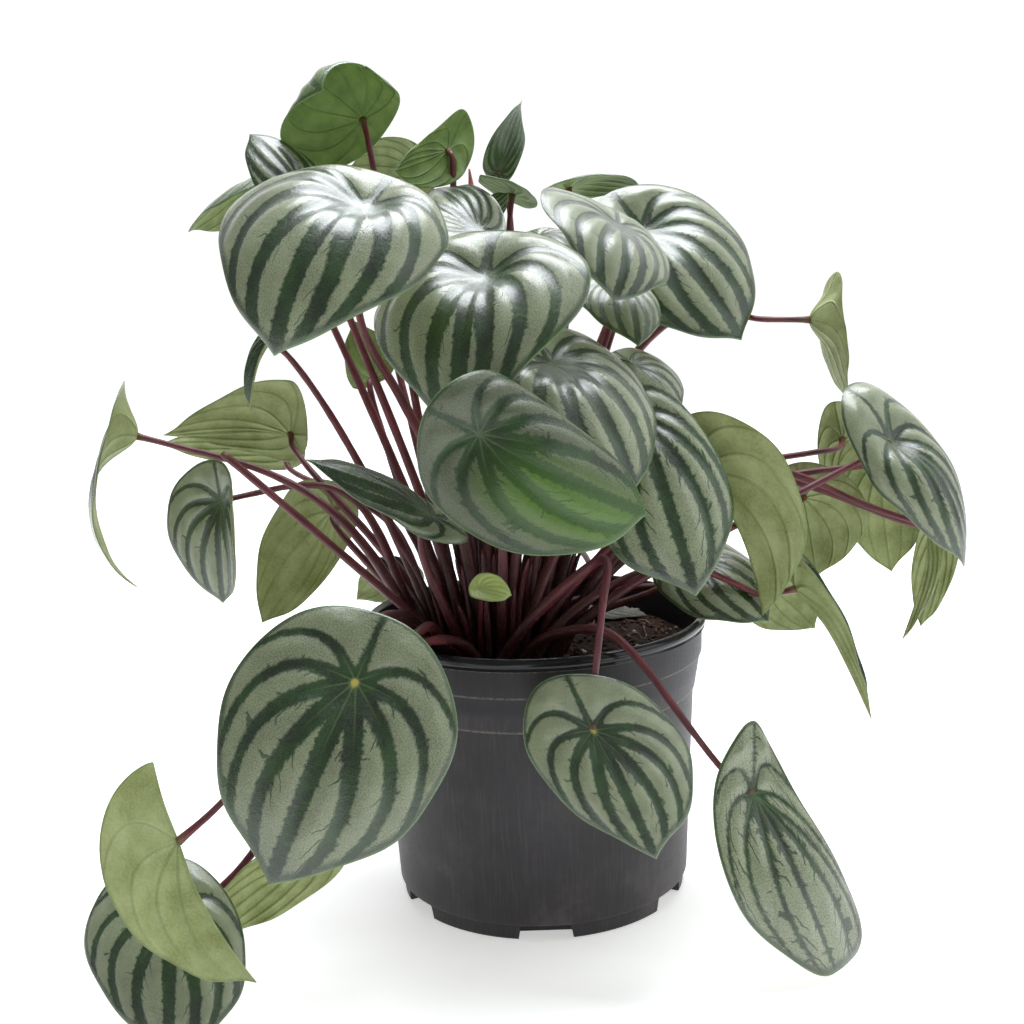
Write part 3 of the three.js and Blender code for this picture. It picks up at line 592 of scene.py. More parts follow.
def vein_fields(rho, phi, leaf):
    """Vein number, from 0 at the midrib to 5 at the back, how far apart veins are, and the grid."""
    start, finish = np.array(VEIN_START), np.array(VEIN_END)
    half = np.abs(np.degrees(phi))
    number = np.empty((len(rho), len(phi)))
    for i, r in enumerate(rho):
        at = start + (finish - start) * r**VEIN_TURN
        number[i] = np.interp(half, at, np.arange(len(at)))
    p, q = outline(phi, leaf)
    P, Q = rho[:, None] * p, rho[:, None] * q
    signed = number * np.where(phi < 0, -1, 1)
    d = [np.gradient(f, rho, axis=0) for f in (P, Q, signed)]
    e = [np.gradient(f, phi, axis=1) for f in (P, Q, signed)]
    det = d[0] * e[1] - d[1] * e[0]
    det = np.where(np.abs(det) < 1e-6, 1e-6, det)
    slope_p = (d[2] * e[1] - d[1] * e[2]) / det
    slope_q = (d[0] * e[2] - d[2] * e[0]) / det
    steep = np.sqrt(slope_p**2 + slope_q**2)
    return number, np.clip(1 / np.maximum(steep, 1e-3), 0.002, 0.4), P, Q


def blade_mesh(name, leaf, looks, rings, sectors):
    """Both faces and the rounded rim of a blade, with its pattern fields."""
    rho = np.arange(1, rings + 1) / rings
    phi = -math.pi + 2 * math.pi * np.arange(sectors) / sectors
    number, spread, P, Q = vein_fields(rho, phi, leaf)
    size, ahead, aside, out = placed(leaf)
    seed = sum(map(ord, name))
    wave = looks.ripple * np.sin(phi * 5 + seed) + 0.6 * looks.ripple * np.sin(phi * 9 + 2 * seed)
    edge = 1 + 0.012 * np.sin(phi * 7 + seed) * (rho[:, None] ** 3)
    a, b, c = bent(P * edge, Q * edge, leaf)
    c = c + wave * rho[:, None] ** 4
    fall = np.clip((rho - 0.08) / 0.3, 0, 1) * np.clip((1.02 - rho) / 0.25, 0, 1)
    swell = (1 - np.cos(2 * math.pi * number)) * 0.5 * np.minimum(spread, 0.25)
    lift = looks.quilt * swell * fall[:, None] * size
    hub = np.array(leaf["hub"], float)
    middle = hub + size * (a[..., None] * ahead + b[..., None] * aside + c[..., None] * out)
    grid = np.vstack([hub[None], middle.reshape(-1, 3)])
    normal = grid_normals(middle, out)
    normal = np.vstack([out[None], normal.reshape(-1, 3)])
    lift = np.concatenate([[0], lift.ravel()])
    thin = np.concatenate([[1], np.repeat(1 - 0.5 * rho**10, sectors)])
    thick = looks.thickness / MM
    half = 0.5 * thick * thin
    over = grid + normal * (half + lift)[:, None]
    under = grid - normal * (half - lift * 0.8)[:, None]
    rim = middle[-1] + unit_rows(middle[-1] - middle[-2]) * thick / 4
    n = len(grid)
    points = np.vstack([over, under, rim])
    faces = disc_faces(rings, sectors)
    lower = [tuple(v + n for v in reversed(face)) for face in faces]
    edge_over, edge_under, edge_rim = n - sectors, 2 * n - sectors, 2 * n
    band = []
    for j in range(sectors):
        k = (j + 1) % sectors
        band.append((edge_over + j, edge_rim + j, edge_rim + k, edge_over + k))
        band.append((edge_rim + j, edge_under + j, edge_under + k, edge_rim + k))
    flat = np.vstack([[(0, 0)], np.stack([P.ravel(), Q.ravel()], 1)])
    last = np.stack([P[-1], Q[-1]], 1)
    uv = np.vstack([flat, flat, last]) + (seed % 17 * 4.0, 0)

    def both(values, centre, rim_value):
        one = np.concatenate([[centre], np.asarray(values).ravel()])
        return np.concatenate([one, one, rim_value])

    backlit_and_young = backlit_and_young_field(name, P, Q)
    fields = {
        "vein": both(number, 0, number[-1]),
        "spread": both(spread, 0.01, spread[-1]),
        "rho": both(np.repeat(rho, sectors), 0, np.ones(sectors)),
        "side": both(np.sign(Q) * 1.0, 0, np.sign(Q[-1])),
        "backlit_and_young": both(backlit_and_young, backlit_and_young.mean(), backlit_and_young[-1]),
        "bold": np.full(len(points), BOLD.get(name, 1.0)),
        "eye": np.full(len(points), 1.0 if name in PALE_EYED else 0.0),
        "shade_and_matt": np.full(len(points), SHADE_AND_MATT.get(name, 0.0)),
    }
    kinds = [0] * len(faces) + [1] * len(lower) + [0, 1] * sectors
    return points, faces + lower + band, kinds, uv, fields


def unit_rows(a):
    return a / np.maximum(np.linalg.norm(a, axis=-1, keepdims=True), 1e-9)


def grid_normals(grid, out):
    """Normals of a closed ring grid, turned to the upper side."""
    inward = np.gradient(grid, axis=0)
    around = (np.roll(grid, -1, 1) - np.roll(grid, 1, 1)) * 0.5
    normal = unit_rows(np.cross(inward, around))
    flip = np.sign((normal[0] @ out).sum()) or 1.0
    return normal * flip


def backlit_and_young_field(name, P, Q):
    """How much painted backlight, as bright green, a leaf gets at each point; over 1 a new leaf."""
    level = np.full(P.shape, BACKLIT_AND_YOUNG.get(name, 0.0))
    if name == "12":
        level = np.clip(1.5 - np.abs(Q + 0.12) / 0.18, 0, 1) * np.clip((P + 0.02) / 0.35, 0, 1)
    if name == "29":
        level = np.maximum(level, np.clip((-Q - 0.42) / 0.08, 0, 1))
    return level


# Finishes


def shade(screen_colour):
    """Screen colour, from 0 to 1, as the linear colour that a shader takes."""
    line = [v / 12.92 if v <= 0.04045 else ((v + 0.055) / 1.055) ** 2.4 for v in screen_colour]
    return (*line, 1.0)


def paint(red, green, blue):
    return shade((red / 255, green / 255, blue / 255))


class Recipe:
    """Builds the nodes of one material."""

    def __init__(self, name):
        self.material = bpy.data.materials.new(name)
        self.material.use_nodes = True
        self.tree = self.material.node_tree
        self.shader = self.tree.nodes["Principled BSDF"]

    def put(self, socket, value):
        if isinstance(value, bpy.types.NodeSocket):
            self.tree.links.new(value, socket)
        else:
            socket.default_value = value

    def node(self, kind, values=None, **settings):
        made = self.tree.nodes.new("ShaderNode" + kind)
        for key, setting in settings.items():
            setattr(made, key, setting)
        for key, value in (values or {}).items():
            self.put(made.inputs[key], value)
        return made

    def math(self, operation, a, b=0.0):
        return self.node("Math", {0: a, 1: b}, operation=operation).outputs[0]

    def times(self, a, b):
        return self.math("MULTIPLY", a, b)

    def plus(self, a, b):
        return self.math("ADD", a, b)

    def minus(self, a, b):
        return self.math("SUBTRACT", a, b)

    def field(self, name):
        return self.node("Attribute", attribute_name=name).outputs["Fac"]

    def flat(self):
        return self.node("UVMap", uv_map="flat").outputs[0]

    def where(self):
        return self.node("TexCoord").outputs["Object"]

    def step(self, value, low, high, start=0.0, end=1.0, smooth=True):
        kind = "SMOOTHSTEP" if smooth else "LINEAR"
        values = {0: value, 1: low, 2: high, 3: start, 4: end}
        return self.node("MapRange", values, interpolation_type=kind).outputs[0]

    def noise(self, vector, scale, detail=4.0, rough=0.55, distortion=0.0):
        values = {"Vector": vector, "Scale": scale, "Detail": detail, "Roughness": rough,
            "Distortion": distortion}
        return self.node("TexNoise", values).outputs[0]

    def stretched(self, vector, x, y, z=1.0):
        return self.node("Mapping", {"Vector": vector, "Scale": (x, y, z)}).outputs[0]

    def chance(self, value):
        return self.node("TexWhiteNoise", {"W": value}, noise_dimensions="1D").outputs["Value"]

    def cells(self, vector, scale):
        return self.node("TexVoronoi", {"Vector": vector, "Scale": scale}).outputs["Distance"]

    def mix(self, factor, a, b):
        made = self.node("Mix", data_type="RGBA")
        for index, value in ((0, factor), (6, a), (7, b)):
            self.put(made.inputs[index], value)
        return made.outputs[2]

    def bump(self, height, distance, strength=1.0):
        values = {"Height": height, "Distance": distance, "Strength": strength}
        return self.node("Bump", values).outputs[0]

    def layer(self, under, rgb, *rule):
        """The colour under, covered by another one where the step rule says."""
        return self.mix(self.step(*rule), under, paint(*rgb))

    def finish(self, **sockets):
        for key, value in sockets.items():
            self.put(self.shader.inputs[key.replace("_", " ")], value)
        return self.material


def from_vein(r):
    """Distance from the nearest vein in hub-to-tip lengths, and a number for its side."""
    vein, spread = r.field("vein"), r.field("spread")
    near = r.math("ROUND", vein)
    off = r.minus(vein, near)
    apart = r.times(r.math("ABSOLUTE", off), spread)
    side = r.plus(r.times(near, 2.7), r.times(r.math("SIGN", off), 0.9))
    side = r.plus(side, r.times(r.field("side"), 11.3))
    return vein, apart, side


def upper_finish(looks):
    """Silver leaf skin with dark feathered bands along the veins."""
    r = Recipe("leaf_upper")
    flat, rho, backlit_and_young = r.flat(), r.field("rho"), r.field("backlit_and_young")
    vein, apart, side = from_vein(r)
    width = r.step(vein, 0, 4.8, looks.band, looks.band * 0.5, smooth=False)
    width = r.times(width, r.step(rho, 0.15, 1.0, 1.15, 0.7))
    width = r.times(width, r.field("bold"))
    crowd = r.times(r.step(rho, 0.06, 0.26, 0.05, 0.0), r.step(vein, 2.2, 4.4, 1.0, 0.4))
    width = r.plus(width, crowd)
    ragged = r.minus(r.noise(flat, 30.0, 5.0, 0.7), 0.5)
    width = r.plus(width, r.times(ragged, 0.036))
    slant = r.minus(rho, r.times(apart, 0.8))
    teeth = r.node("CombineXYZ", {0: r.times(slant, 34.0), 1: r.times(side, 5.0)})
    teeth = r.noise(teeth.outputs[0], 1.0, 2.0, 0.5)
    teeth = r.step(teeth, 0.5, 0.78, 0.0, 0.018, smooth=False)
    teeth = r.times(teeth, r.step(vein, 1.2, 3.8, 1.0, 0.3))
    width = r.plus(width, teeth)
    dark = r.step(r.minus(apart, width), -0.012, 0.006, 1.0, 0.0)
    wobble = r.times(r.noise(flat, 9.0, 2.0), 1.6)
    run = r.times(r.minus(rho, r.times(apart, 1.1)), 9.0)
    run = r.plus(r.plus(run, wobble), r.times(side, 3.71))
    cell = r.math("FLOOR", run)
    middle = r.math("ABSOLUTE", r.minus(r.math("FRACT", run), 0.5))
    long = r.chance(r.plus(cell, r.times(side, 17.3)))
    long = r.times(r.math("POWER", long, 1.6), r.step(vein, 1.2, 3.8, 0.14, 0.05))
    fine = r.step(apart, 0.02, 0.12, 0.1, 0.0, smooth=False)
    line = r.step(r.minus(middle, fine), -0.02, 0.02, 1.0, 0.0)
    line = r.times(line, r.step(r.minus(apart, long), -0.02, 0.005, 1.0, 0.0))
    dark = r.math("MAXIMUM", dark, r.times(line, 0.85))
    border = r.step(r.plus(rho, r.times(ragged, 0.03)), 0.93, 0.975, 0.0, 0.85)
    dark = r.math("MAXIMUM", dark, border)
    grain = r.noise(flat, 130.0, 3.0, 0.8)
    cloud = r.noise(flat, 5.0, 4.0, 0.6)
    silver = r.mix(r.step(cloud, 0.3, 0.7), shade(looks.silver_low), shade(looks.silver_high))
    silver = r.layer(silver, (174, 182, 158), grain, 0.35, 0.75, 0.0, 0.6)
    silver = r.layer(silver, (72, 86, 58), grain, 0.5, 0.25, 0.0, 0.6)
    green = r.mix(r.step(cloud, 0.35, 0.65), paint(22, 40, 16), shade(looks.band_colour))
    # Painted shade: the silver of these leaves is painted darker.
    silver = r.mix(r.field("shade_and_matt"), silver, paint(50, 60, 38))
    colour = r.mix(dark, silver, green)
    # Painted backlight: bright green where the light shines through the leaf; over 1 also the pale
    # green of a new leaf.
    backlit_and_young_green = r.mix(r.times(dark, 0.7), paint(82, 118, 30), paint(40, 78, 18))
    colour = r.mix(r.step(backlit_and_young, 0.0, 1.0, 0.0, 0.85, smooth=False), colour, backlit_and_young_green)
    colour = r.layer(colour, (196, 214, 124), backlit_and_young, 1.1, 1.2, 0.0, 0.9)
    pale = r.step(apart, 0.001, 0.0075, 1.0, 0.0)
    pale = r.times(pale, r.step(rho, 0.02, 0.5, 0.4, 0.0))
    colour = r.mix(pale, colour, paint(104, 124, 84))
    colour = r.layer(colour, (96, 128, 66), rho, 0.985, 1.0, 0.0, 0.8)
    halo = r.step(r.plus(rho, r.times(ragged, 0.05)), 0.015, 0.07, 0.6, 0.0)
    colour = r.mix(r.times(halo, r.field("eye")), colour, paint(112, 128, 72))
    eye = r.times(r.step(rho, 0.018, 0.045, 0.9, 0.0), r.field("eye"))
    colour = r.mix(eye, colour, paint(186, 172, 84))
    wrinkle = r.noise(flat, 34.0, 3.0, 0.6, 0.6)
    relief = r.plus(r.times(wrinkle, 0.7), r.times(grain, 0.5))
    relief = r.plus(relief, r.times(dark, -0.35))
    normal = r.bump(relief, 0.0006, looks.relief)
    rough = r.step(grain, 0.3, 0.7, looks.gloss, looks.gloss + 0.14)
    rough = r.plus(rough, r.times(dark, -0.05))
    return r.finish(Base_Color=colour, Roughness=rough, Normal=normal, Specular_IOR_Level=0.4,
        Coat_Weight=r.step(r.field("shade_and_matt"), 0.0, 1.0, 0.85, 0.0, smooth=False), Coat_Roughness=0.15,
        Coat_IOR=1.58, Coat_Normal=r.bump(relief, 0.0002, 0.5))


def under_finish(looks):
    """Pale matt underside with faint dark veins and specks."""
    r = Recipe("leaf_under")
    flat, rho, backlit_and_young = r.flat(), r.field("rho"), r.field("backlit_and_young")
    _, apart, _ = from_vein(r)
    cloud = r.noise(flat, 4.0, 5.0, 0.6)
    fine = r.noise(flat, 60.0, 4.0, 0.7)
    colour = r.mix(r.step(cloud, 0.3, 0.7), shade(looks.under_low), shade(looks.under_high))
    colour = r.layer(colour, (198, 210, 160), fine, 0.35, 0.7, 0.0, 0.25)
    # Painted backlight: the underside is painted bright green where the light shines through the
    # leaf; over 1 also a new leaf.
    backlit_and_young_green = r.mix(r.step(cloud, 0.3, 0.7), paint(60, 98, 6), paint(86, 122, 22))
    colour = r.mix(r.step(backlit_and_young, 0.0, 1.0, smooth=False), colour, backlit_and_young_green)
    colour = r.layer(colour, (196, 214, 124), backlit_and_young, 1.1, 1.2, 0.0, 0.9)
    vein = r.step(r.plus(apart, r.times(fine, 0.004)), 0.004, 0.014, 0.3, 0.0)
    vein = r.times(vein, r.step(rho, 0.3, 0.98, 1.0, 0.2))
    colour = r.mix(vein, colour, paint(104, 132, 62))
    specks = r.step(r.cells(flat, 26.0), 0.05, 0.09, 0.8, 0.0)
    specks = r.times(specks, r.step(cloud, 0.52, 0.6))
    colour = r.mix(specks, colour, paint(84, 92, 48))
    colour = r.layer(colour, (88, 118, 52), rho, 0.975, 1.0, 0.0, 0.5)
    relief = r.plus(r.step(apart, 0.0, 0.02, 1.0, 0.0), r.times(fine, 0.4))
    relief = r.plus(relief, r.times(cloud, 1.2))
    rough = r.step(fine, 0.3, 0.7, 0.46, 0.6)
    return r.finish(Base_Color=colour, Roughness=rough, Normal=r.bump(relief, 0.0006, 0.8))


def stalk_finish(looks):
    """Maroon stalk skin with fine pale streaks, darker at the crown."""
    r = Recipe("stalk_skin")
    flat, along = r.flat(), r.field("along")
    streak = r.noise(r.stretched(flat, 9.0, 0.12), 1.0, 5.0, 0.65)
    patch = r.noise(r.stretched(flat, 2.0, 0.05), 1.0, 3.0)
    base = r.mix(r.step(patch, 0.3, 0.7), shade(looks.dark), shade(looks.light))
    base = r.layer(base, (34, 16, 19), along, 0.0, 0.45, 0.9, 0.0)
    base = r.layer(base, (170, 108, 104), streak, 0.56, 0.75, 0.0, 0.45)
    marks = r.step(r.noise(r.stretched(flat, 14.0, 0.5), 1.0, 4.0, 0.7), 0.6, 0.68, 0.0, 0.7)
    marks = r.times(marks, r.step(along, 0.1, 0.6, 1.0, 0.25))
    base = r.mix(marks, base, paint(168, 136, 112))
    base = r.layer(base, (52, 18, 26), streak, 0.45, 0.25, 0.0, 0.6)
    base = r.mix(r.times(r.field("pink"), 0.8), base, paint(214, 120, 124))
    base = r.layer(base, (132, 116, 70), along, 0.965, 1.0, 0.0, 0.4)
    relief = r.plus(streak, r.times(patch, 0.7))
    rough = r.step(streak, 0.3, 0.7, 0.34, 0.5)
    return r.finish(Base_Color=base, Roughness=rough, Normal=r.bump(relief, 0.0005, 0.7),
        Specular_IOR_Level=0.5)


def pot_finish(looks):
    """Moulded plastic: faint upright streaks, dust, and painted highlight lines along the edges."""
    r = Recipe("pot_plastic")
    where = r.where()
    streak = r.noise(r.stretched(where, 900.0, 900.0, 14.0), 1.0, 4.0, 0.6)
    cloud = r.noise(where, 26.0, 5.0, 0.65)
    fine = r.noise(where, 1600.0, 2.0, 0.6)
    height = r.node("SeparateXYZ", {0: where}).outputs[2]
    colour = r.mix(r.step(cloud, 0.3, 0.7), shade(looks.dark), shade(looks.light))
    colour = r.layer(colour, (80, 76, 78), streak, 0.45, 0.75, 0.0, 0.25)
    dust = r.times(r.step(cloud, 0.5, 0.72), r.step(height, 0.0, 0.05, 0.4, 0.1))
    colour = r.mix(dust, colour, paint(96, 90, 88))
    upper = r.step(height, (BAND_Z - 4) * MM, BAND_Z * MM, 0.0, 0.65)
    colour = r.mix(upper, colour, paint(22, 20, 24))
    # Painted highlights: thin pale lines at the step, the band and the foot of the lip.
    edge_highlight = None
    for level in (STEP_Z, BAND_Z, POT_HEIGHT - LIP_HEIGHT):
        near = r.math("ABSOLUTE", r.minus(height, (level - 0.1) * MM))
        line = r.step(near, 0.0002, 0.0008, 0.7, 0.0)
        edge_highlight = line if edge_highlight is None else r.math("MAXIMUM", edge_highlight, line)
    edge_highlight = r.times(edge_highlight, r.step(streak, 0.3, 0.6, 0.0, 0.5))
    colour = r.mix(edge_highlight, colour, paint(150, 142, 128))
    lip = POT_HEIGHT - LIP_HEIGHT
    lip = r.step(height, (lip - 0.6) * MM, (lip + 0.4) * MM)
    level = r.stretched(where, 1.0, 1.0, 0.0)
    away = r.node("VectorMath", {0: level}, operation="LENGTH").outputs["Value"]
    # Painted shade: the inner wall above the peat is painted near-black, the same colour that the
    # lip gets.
    inner = r.times(r.step(away, 0.0738, 0.0746, 1.0, 0.0), r.step(height, 0.1, 0.105))
    dark_lip_and_shaded_inside = r.mix(cloud, paint(16, 16, 20), paint(30, 30, 36))
    colour = r.mix(r.math("MAXIMUM", lip, inner), colour, dark_lip_and_shaded_inside)
    rough = r.minus(r.step(fine, 0.3, 0.7, 0.42, 0.55), r.times(lip, 0.3))
    relief = r.plus(r.times(streak, 0.6), r.times(fine, 0.4))
    relief = r.times(relief, r.step(lip, 0.0, 1.0, 1.0, 0.15))
    return r.finish(Base_Color=colour, Roughness=rough, Normal=r.bump(relief, 0.0003, 0.45),
        Specular_IOR_Level=0.4)


def soil_finish(looks):
    """Damp peat with brown fibres."""
    r = Recipe("peat")
    where = r.where()
    lump = r.noise(where, 190.0, 6.0, 0.7)
    fibre = r.noise(r.stretched(where, 700.0, 260.0, 400.0), 1.0, 4.0, 0.7, 1.5)
    colour = r.mix(r.step(lump, 0.35, 0.68), shade(looks.peat), shade(looks.crumb))
    colour = r.layer(colour, (110, 72, 54), fibre, 0.58, 0.7, 0.0, 0.7)
    relief = r.plus(lump, r.times(fibre, 0.6))
    return r.finish(Base_Color=colour, Roughness=r.step(lump, 0.3, 0.7, 0.7, 0.95),
        Normal=r.bump(relief, 0.0015, 1.0), Specular_IOR_Level=0.25)


def speckled_finish(name, low, high, scale, rough):
    """A finish of two colours in fine patches, for small bits."""
    r = Recipe(name)
    where = r.where()
    patch = r.noise(where, scale, 5.0, 0.65)
    fine = r.noise(where, scale * 6, 3.0, 0.6)
    colour = r.mix(r.step(patch, 0.3, 0.7), paint(*low), paint(*high))
    pale = [min(255, v + 40) for v in high]
    colour = r.layer(colour, pale, fine, 0.55, 0.75, 0.0, 0.4)
    relief = r.plus(patch, r.times(fine, 0.5))
    return r.finish(Base_Color=colour, Roughness=r.step(fine, 0.3, 0.7, rough - 0.1, rough + 0.1),
        Normal=r.bump(relief, 0.0006, 0.9))


def dry_finish():
    """Dry grey leaf with dark veins and brown blotches."""
    r = Recipe("dry_leaf")
    flat, rho = r.flat(), r.field("rho")
    _, apart, _ = from_vein(r)
    cloud = r.noise(flat, 6.0, 5.0, 0.7)
    fibre = r.noise(r.stretched(flat, 14.0, 60.0), 1.0, 4.0, 0.7)
    colour = r.mix(r.step(cloud, 0.35, 0.65), paint(94, 98, 88), paint(146, 148, 142))
    colour = r.layer(colour, (176, 176, 172), fibre, 0.5, 0.7, 0.0, 0.6)
    colour = r.layer(colour, (66, 70, 58), apart, 0.006, 0.03, 0.75, 0.0)
    colour = r.layer(colour, (104, 90, 72), rho, 0.9, 1.0, 0.0, 0.6)
    relief = r.plus(fibre, cloud)
    return r.finish(Base_Color=colour, Roughness=r.step(fibre, 0.3, 0.7, 0.5, 0.7),
        Normal=r.bump(relief, 0.0008, 1.0))


def floor_finish(looks):
    """Plain pale studio paper."""
    r = Recipe("studio_paper")
    where = r.where()
    tooth = r.noise(where, 900.0, 2.0, 0.5)
    colour = r.mix(r.step(tooth, 0.3, 0.7), shade(looks.floor), paint(250, 250, 250))
    return r.finish(Base_Color=colour, Roughness=r.step(tooth, 0.3, 0.7, 0.85, 0.95),
        Emission_Color=(1, 1, 1, 1), Emission_Strength=0.5)


# Settings


def screen(red, green, blue):
    return (red / 255, green / 255, blue / 255)


def colour_setting(name, description, default):
    return bpy.props.FloatVectorProperty(name=name, description=description, subtype="COLOR_GAMMA",
        size=3, min=0, max=1, default=default)


def length_setting(name, description, default):
    return bpy.props.FloatProperty(name=name, description=description, default=default, min=0,
        unit="LENGTH", subtype="DISTANCE")


def share_setting(name, description, default, high=1.0):
    return bpy.props.FloatProperty(name=name, description=description, default=default, min=0,
        max=high, subtype="FACTOR")


class PotSettings(bpy.types.PropertyGroup):
    sides: bpy.props.IntProperty(name="Sides", description="Sides of the round pot", default=168,
        min=24)
    dark: colour_setting("Plastic, dark", "Darker colour of the plastic", screen(38, 34, 38))
    light: colour_setting("Plastic, light", "Lighter colour of the plastic", screen(50, 46, 50))


class SoilSettings(bpy.types.PropertyGroup):
    lumps: length_setting("Lumps", "Height of the lumps of peat", 0.0026)
    crumbs: bpy.props.IntProperty(name="Crumbs", description="Loose crumbs of peat", default=420)
    chips: bpy.props.IntProperty(name="Bark", description="Chips of bark and fibre", default=150)
    grains: bpy.props.IntProperty(name="Perlite", description="White grains", default=46)
    peat: colour_setting("Peat", "Colour of the damp peat", screen(34, 24, 22))
    crumb: colour_setting("Crumb", "Colour of the drier crumbs", screen(76, 54, 44))


class StalkSettings(bpy.types.PropertyGroup):
    sides: bpy.props.IntProperty(name="Sides", description="Sides of a stalk", default=10, min=5)
    dark: colour_setting("Stalk, dark", "Darker red of a stalk", screen(72, 24, 32))
    light: colour_setting("Stalk, light", "Lighter red of a stalk", screen(112, 44, 52))
    tries: bpy.props.IntProperty(name="Old feet", description="Places tried for old stalk feet",
        default=900, min=0)


class LeafSettings(bpy.types.PropertyGroup):
    thickness: length_setting("Thickness", "Thickness of a blade", 0.0009)
    ripple: share_setting("Ripple", "Ripple of the rim, in leaf lengths", 0.006, 0.1)
    quilt: share_setting("Quilt", "Swell between the veins, in spacings", 0.085, 0.5)
    band: share_setting("Band", "Half width of the dark bands, in leaf lengths", 0.05, 0.2)
    relief: share_setting("Relief", "Strength of the fine relief", 0.75)
    gloss: share_setting("Roughness", "Roughness of the shiniest skin", 0.22)
    silver_low: colour_setting("Silver, low", "Silver skin in the hollows", screen(104, 114, 80))
    silver_high: colour_setting("Silver, high", "Silver skin on top", screen(132, 142, 106))
    band_colour: colour_setting("Bands", "Green of the bands", screen(38, 68, 28))
    under_low: colour_setting("Underside, low", "Darker green underneath", screen(128, 138, 76))
    under_high: colour_setting("Underside, high", "Paler green underneath", screen(168, 178, 122))


class StageSettings(bpy.types.PropertyGroup):
    lens: bpy.props.FloatProperty(name="Lens", description="Focal length for a 36 mm film",
        default=52.35, unit="CAMERA", subtype="DISTANCE_CAMERA")
    sky: bpy.props.FloatProperty(name="Backdrop", description="Brightness behind the plant",
        default=1.05, min=0)
    room: bpy.props.FloatProperty(name="Room", description="Brightness on the camera's side",
        default=0.24, min=0)
    lamp: bpy.props.FloatProperty(name="Lamp", description="Power of the high soft lamp",
        default=40.0, min=0, unit="POWER")
    floor: colour_setting("Paper", "Colour of the studio paper", screen(240, 240, 240))


# Pieces


def pot_profile():
    """The pot's wall from its underside up, over the lip and down inside."""
    lip = POT_HEIGHT - LIP_HEIGHT
    outer = [(0, 0.6), (FOOT_RADIUS - 12, 0.6), (FOOT_RADIUS - 11, 0), (FOOT_RADIUS - 0.6, 0),
        (FOOT_RADIUS, 0.6), (FOOT_RADIUS + 0.4, FOOT_HEIGHT),
        (WALL_BASE_RADIUS - 0.3, FOOT_HEIGHT + 0.7), (WALL_BASE_RADIUS, FOOT_HEIGHT + 1.4)]
    wall = [(STEP_RADIUS, STEP_Z - 0.8), (STEP_RADIUS + 0.75, STEP_Z - 0.3),
        (STEP_RADIUS + 0.9, STEP_Z + 0.3), (BAND_RADIUS, BAND_Z - 0.6),
        (BAND_RADIUS + 0.6, BAND_Z - 0.2), (BAND_RADIUS + 0.75, BAND_Z + 0.4),
        (LIP_RADIUS - 2.1, lip - 0.5)]
    roll = [(LIP_RADIUS - 1.6, lip), (LIP_RADIUS - 0.7, lip + 0.1)]
    for i in range(13):
        a = math.radians(-60 + i * 20)
        roll.append((LIP_RADIUS - 2.1 + 2.1 * math.cos(a), lip + 3.1 + 2.4 * math.sin(a)))
    roll.append((LIP_RADIUS - 4.2, lip + 0.4))
    inner = [(BAND_RADIUS - POT_WALL, BAND_Z - 2), (STEP_RADIUS - POT_WALL, STEP_Z - 2),
        (WALL_BASE_RADIUS - POT_WALL, FOOT_HEIGHT + 4), (FOOT_RADIUS - POT_WALL, POT_FLOOR),
        (0, POT_FLOOR)]
    rising = []
    for (r0, z0), (r1, z1) in zip([outer[-1], *wall], wall):
        steps = max(1, round((z1 - z0) / 6))
        for k in range(1, steps + 1):
            rising.append((r0 + (r1 - r0) * k / steps, z0 + (z1 - z0) * k / steps))
    return outer + rising + roll + inner


def notch(a):
    """The solid that cuts a drainage notch at angle a of the foot."""
    corners = []
    inside, outside, half = FOOT_RADIUS - NOTCH_DEPTH, FOOT_RADIUS + 5, NOTCH_WIDTH / 2
    for z, side in ((-1, half), (NOTCH_HEIGHT - 1.2, half - 1.2), (NOTCH_HEIGHT, half - 2.6)):
        for r, t in ((inside, -side), (outside, -side), (outside, side), (inside, side)):
            x, y = r * math.cos(a) - t * math.sin(a), r * math.sin(a) + t * math.cos(a)
            corners.append((x, y, z))
    walls = [(0, 3, 2, 1), (8, 9, 10, 11)]
    for base in (0, 4):
        for k in range(4):
            j = (k + 1) % 4
            walls.append((base + k, base + j, base + 4 + j, base + 4 + k))
    return corners, walls


class PEPEROMIA_OT_pot(bpy.types.Operator):
    """Makes the nursery pot with its rolled lip, steps and drainage notches"""

    bl_idname = "peperomia.pot"
    bl_label = "Pot"

    def execute(self, context):
        looks = context.scene.peperomia_pot
        points, faces = turned(pot_profile(), looks.sides)
        pot = make_piece("pot_body", points, faces, [pot_finish(looks)])
        weld(pot)
        turns = [-math.pi / 2 + 2 * math.pi * i / NOTCHES for i in range(NOTCHES)]
        points, faces = joined([notch(a) for a in turns])
        cutter = make_piece("notch_cutter", points, faces, [])
        cut = pot.modifiers.new("notches", "BOOLEAN")
        cut.operation = "DIFFERENCE"
        cut.solver = "EXACT"
        cut.object = cutter
        apply_modifiers(pot)
        bpy.data.objects.remove(cutter)
        soften(pot, 35)
        place_piece(pot, "pot_plastic", "pot")
        return {"FINISHED"}


def soil_height(x, y, lumps):
    """Height of the peat in millimetres at a place on its top."""
    at = Vector((x * 0.045, y * 0.045, 3.7))
    high = noise.fractal(at, 0.9, 2.1, 5) * lumps * 1000
    fine = noise.fractal(at * 5.3, 0.8, 2.0, 4) * 0.5
    crown = math.hypot(x - CROWN[0], y - CROWN[1])
    mound = 1.6 * max(0.0, 1 - (crown / 40) ** 2)
    rim = max(0.0, math.hypot(x, y) - SOIL_RADIUS + 7) / 7
    return SOIL_Z - 0.6 + (high + fine) * (1 - 0.5 * rim) + mound - 1.2 * rim


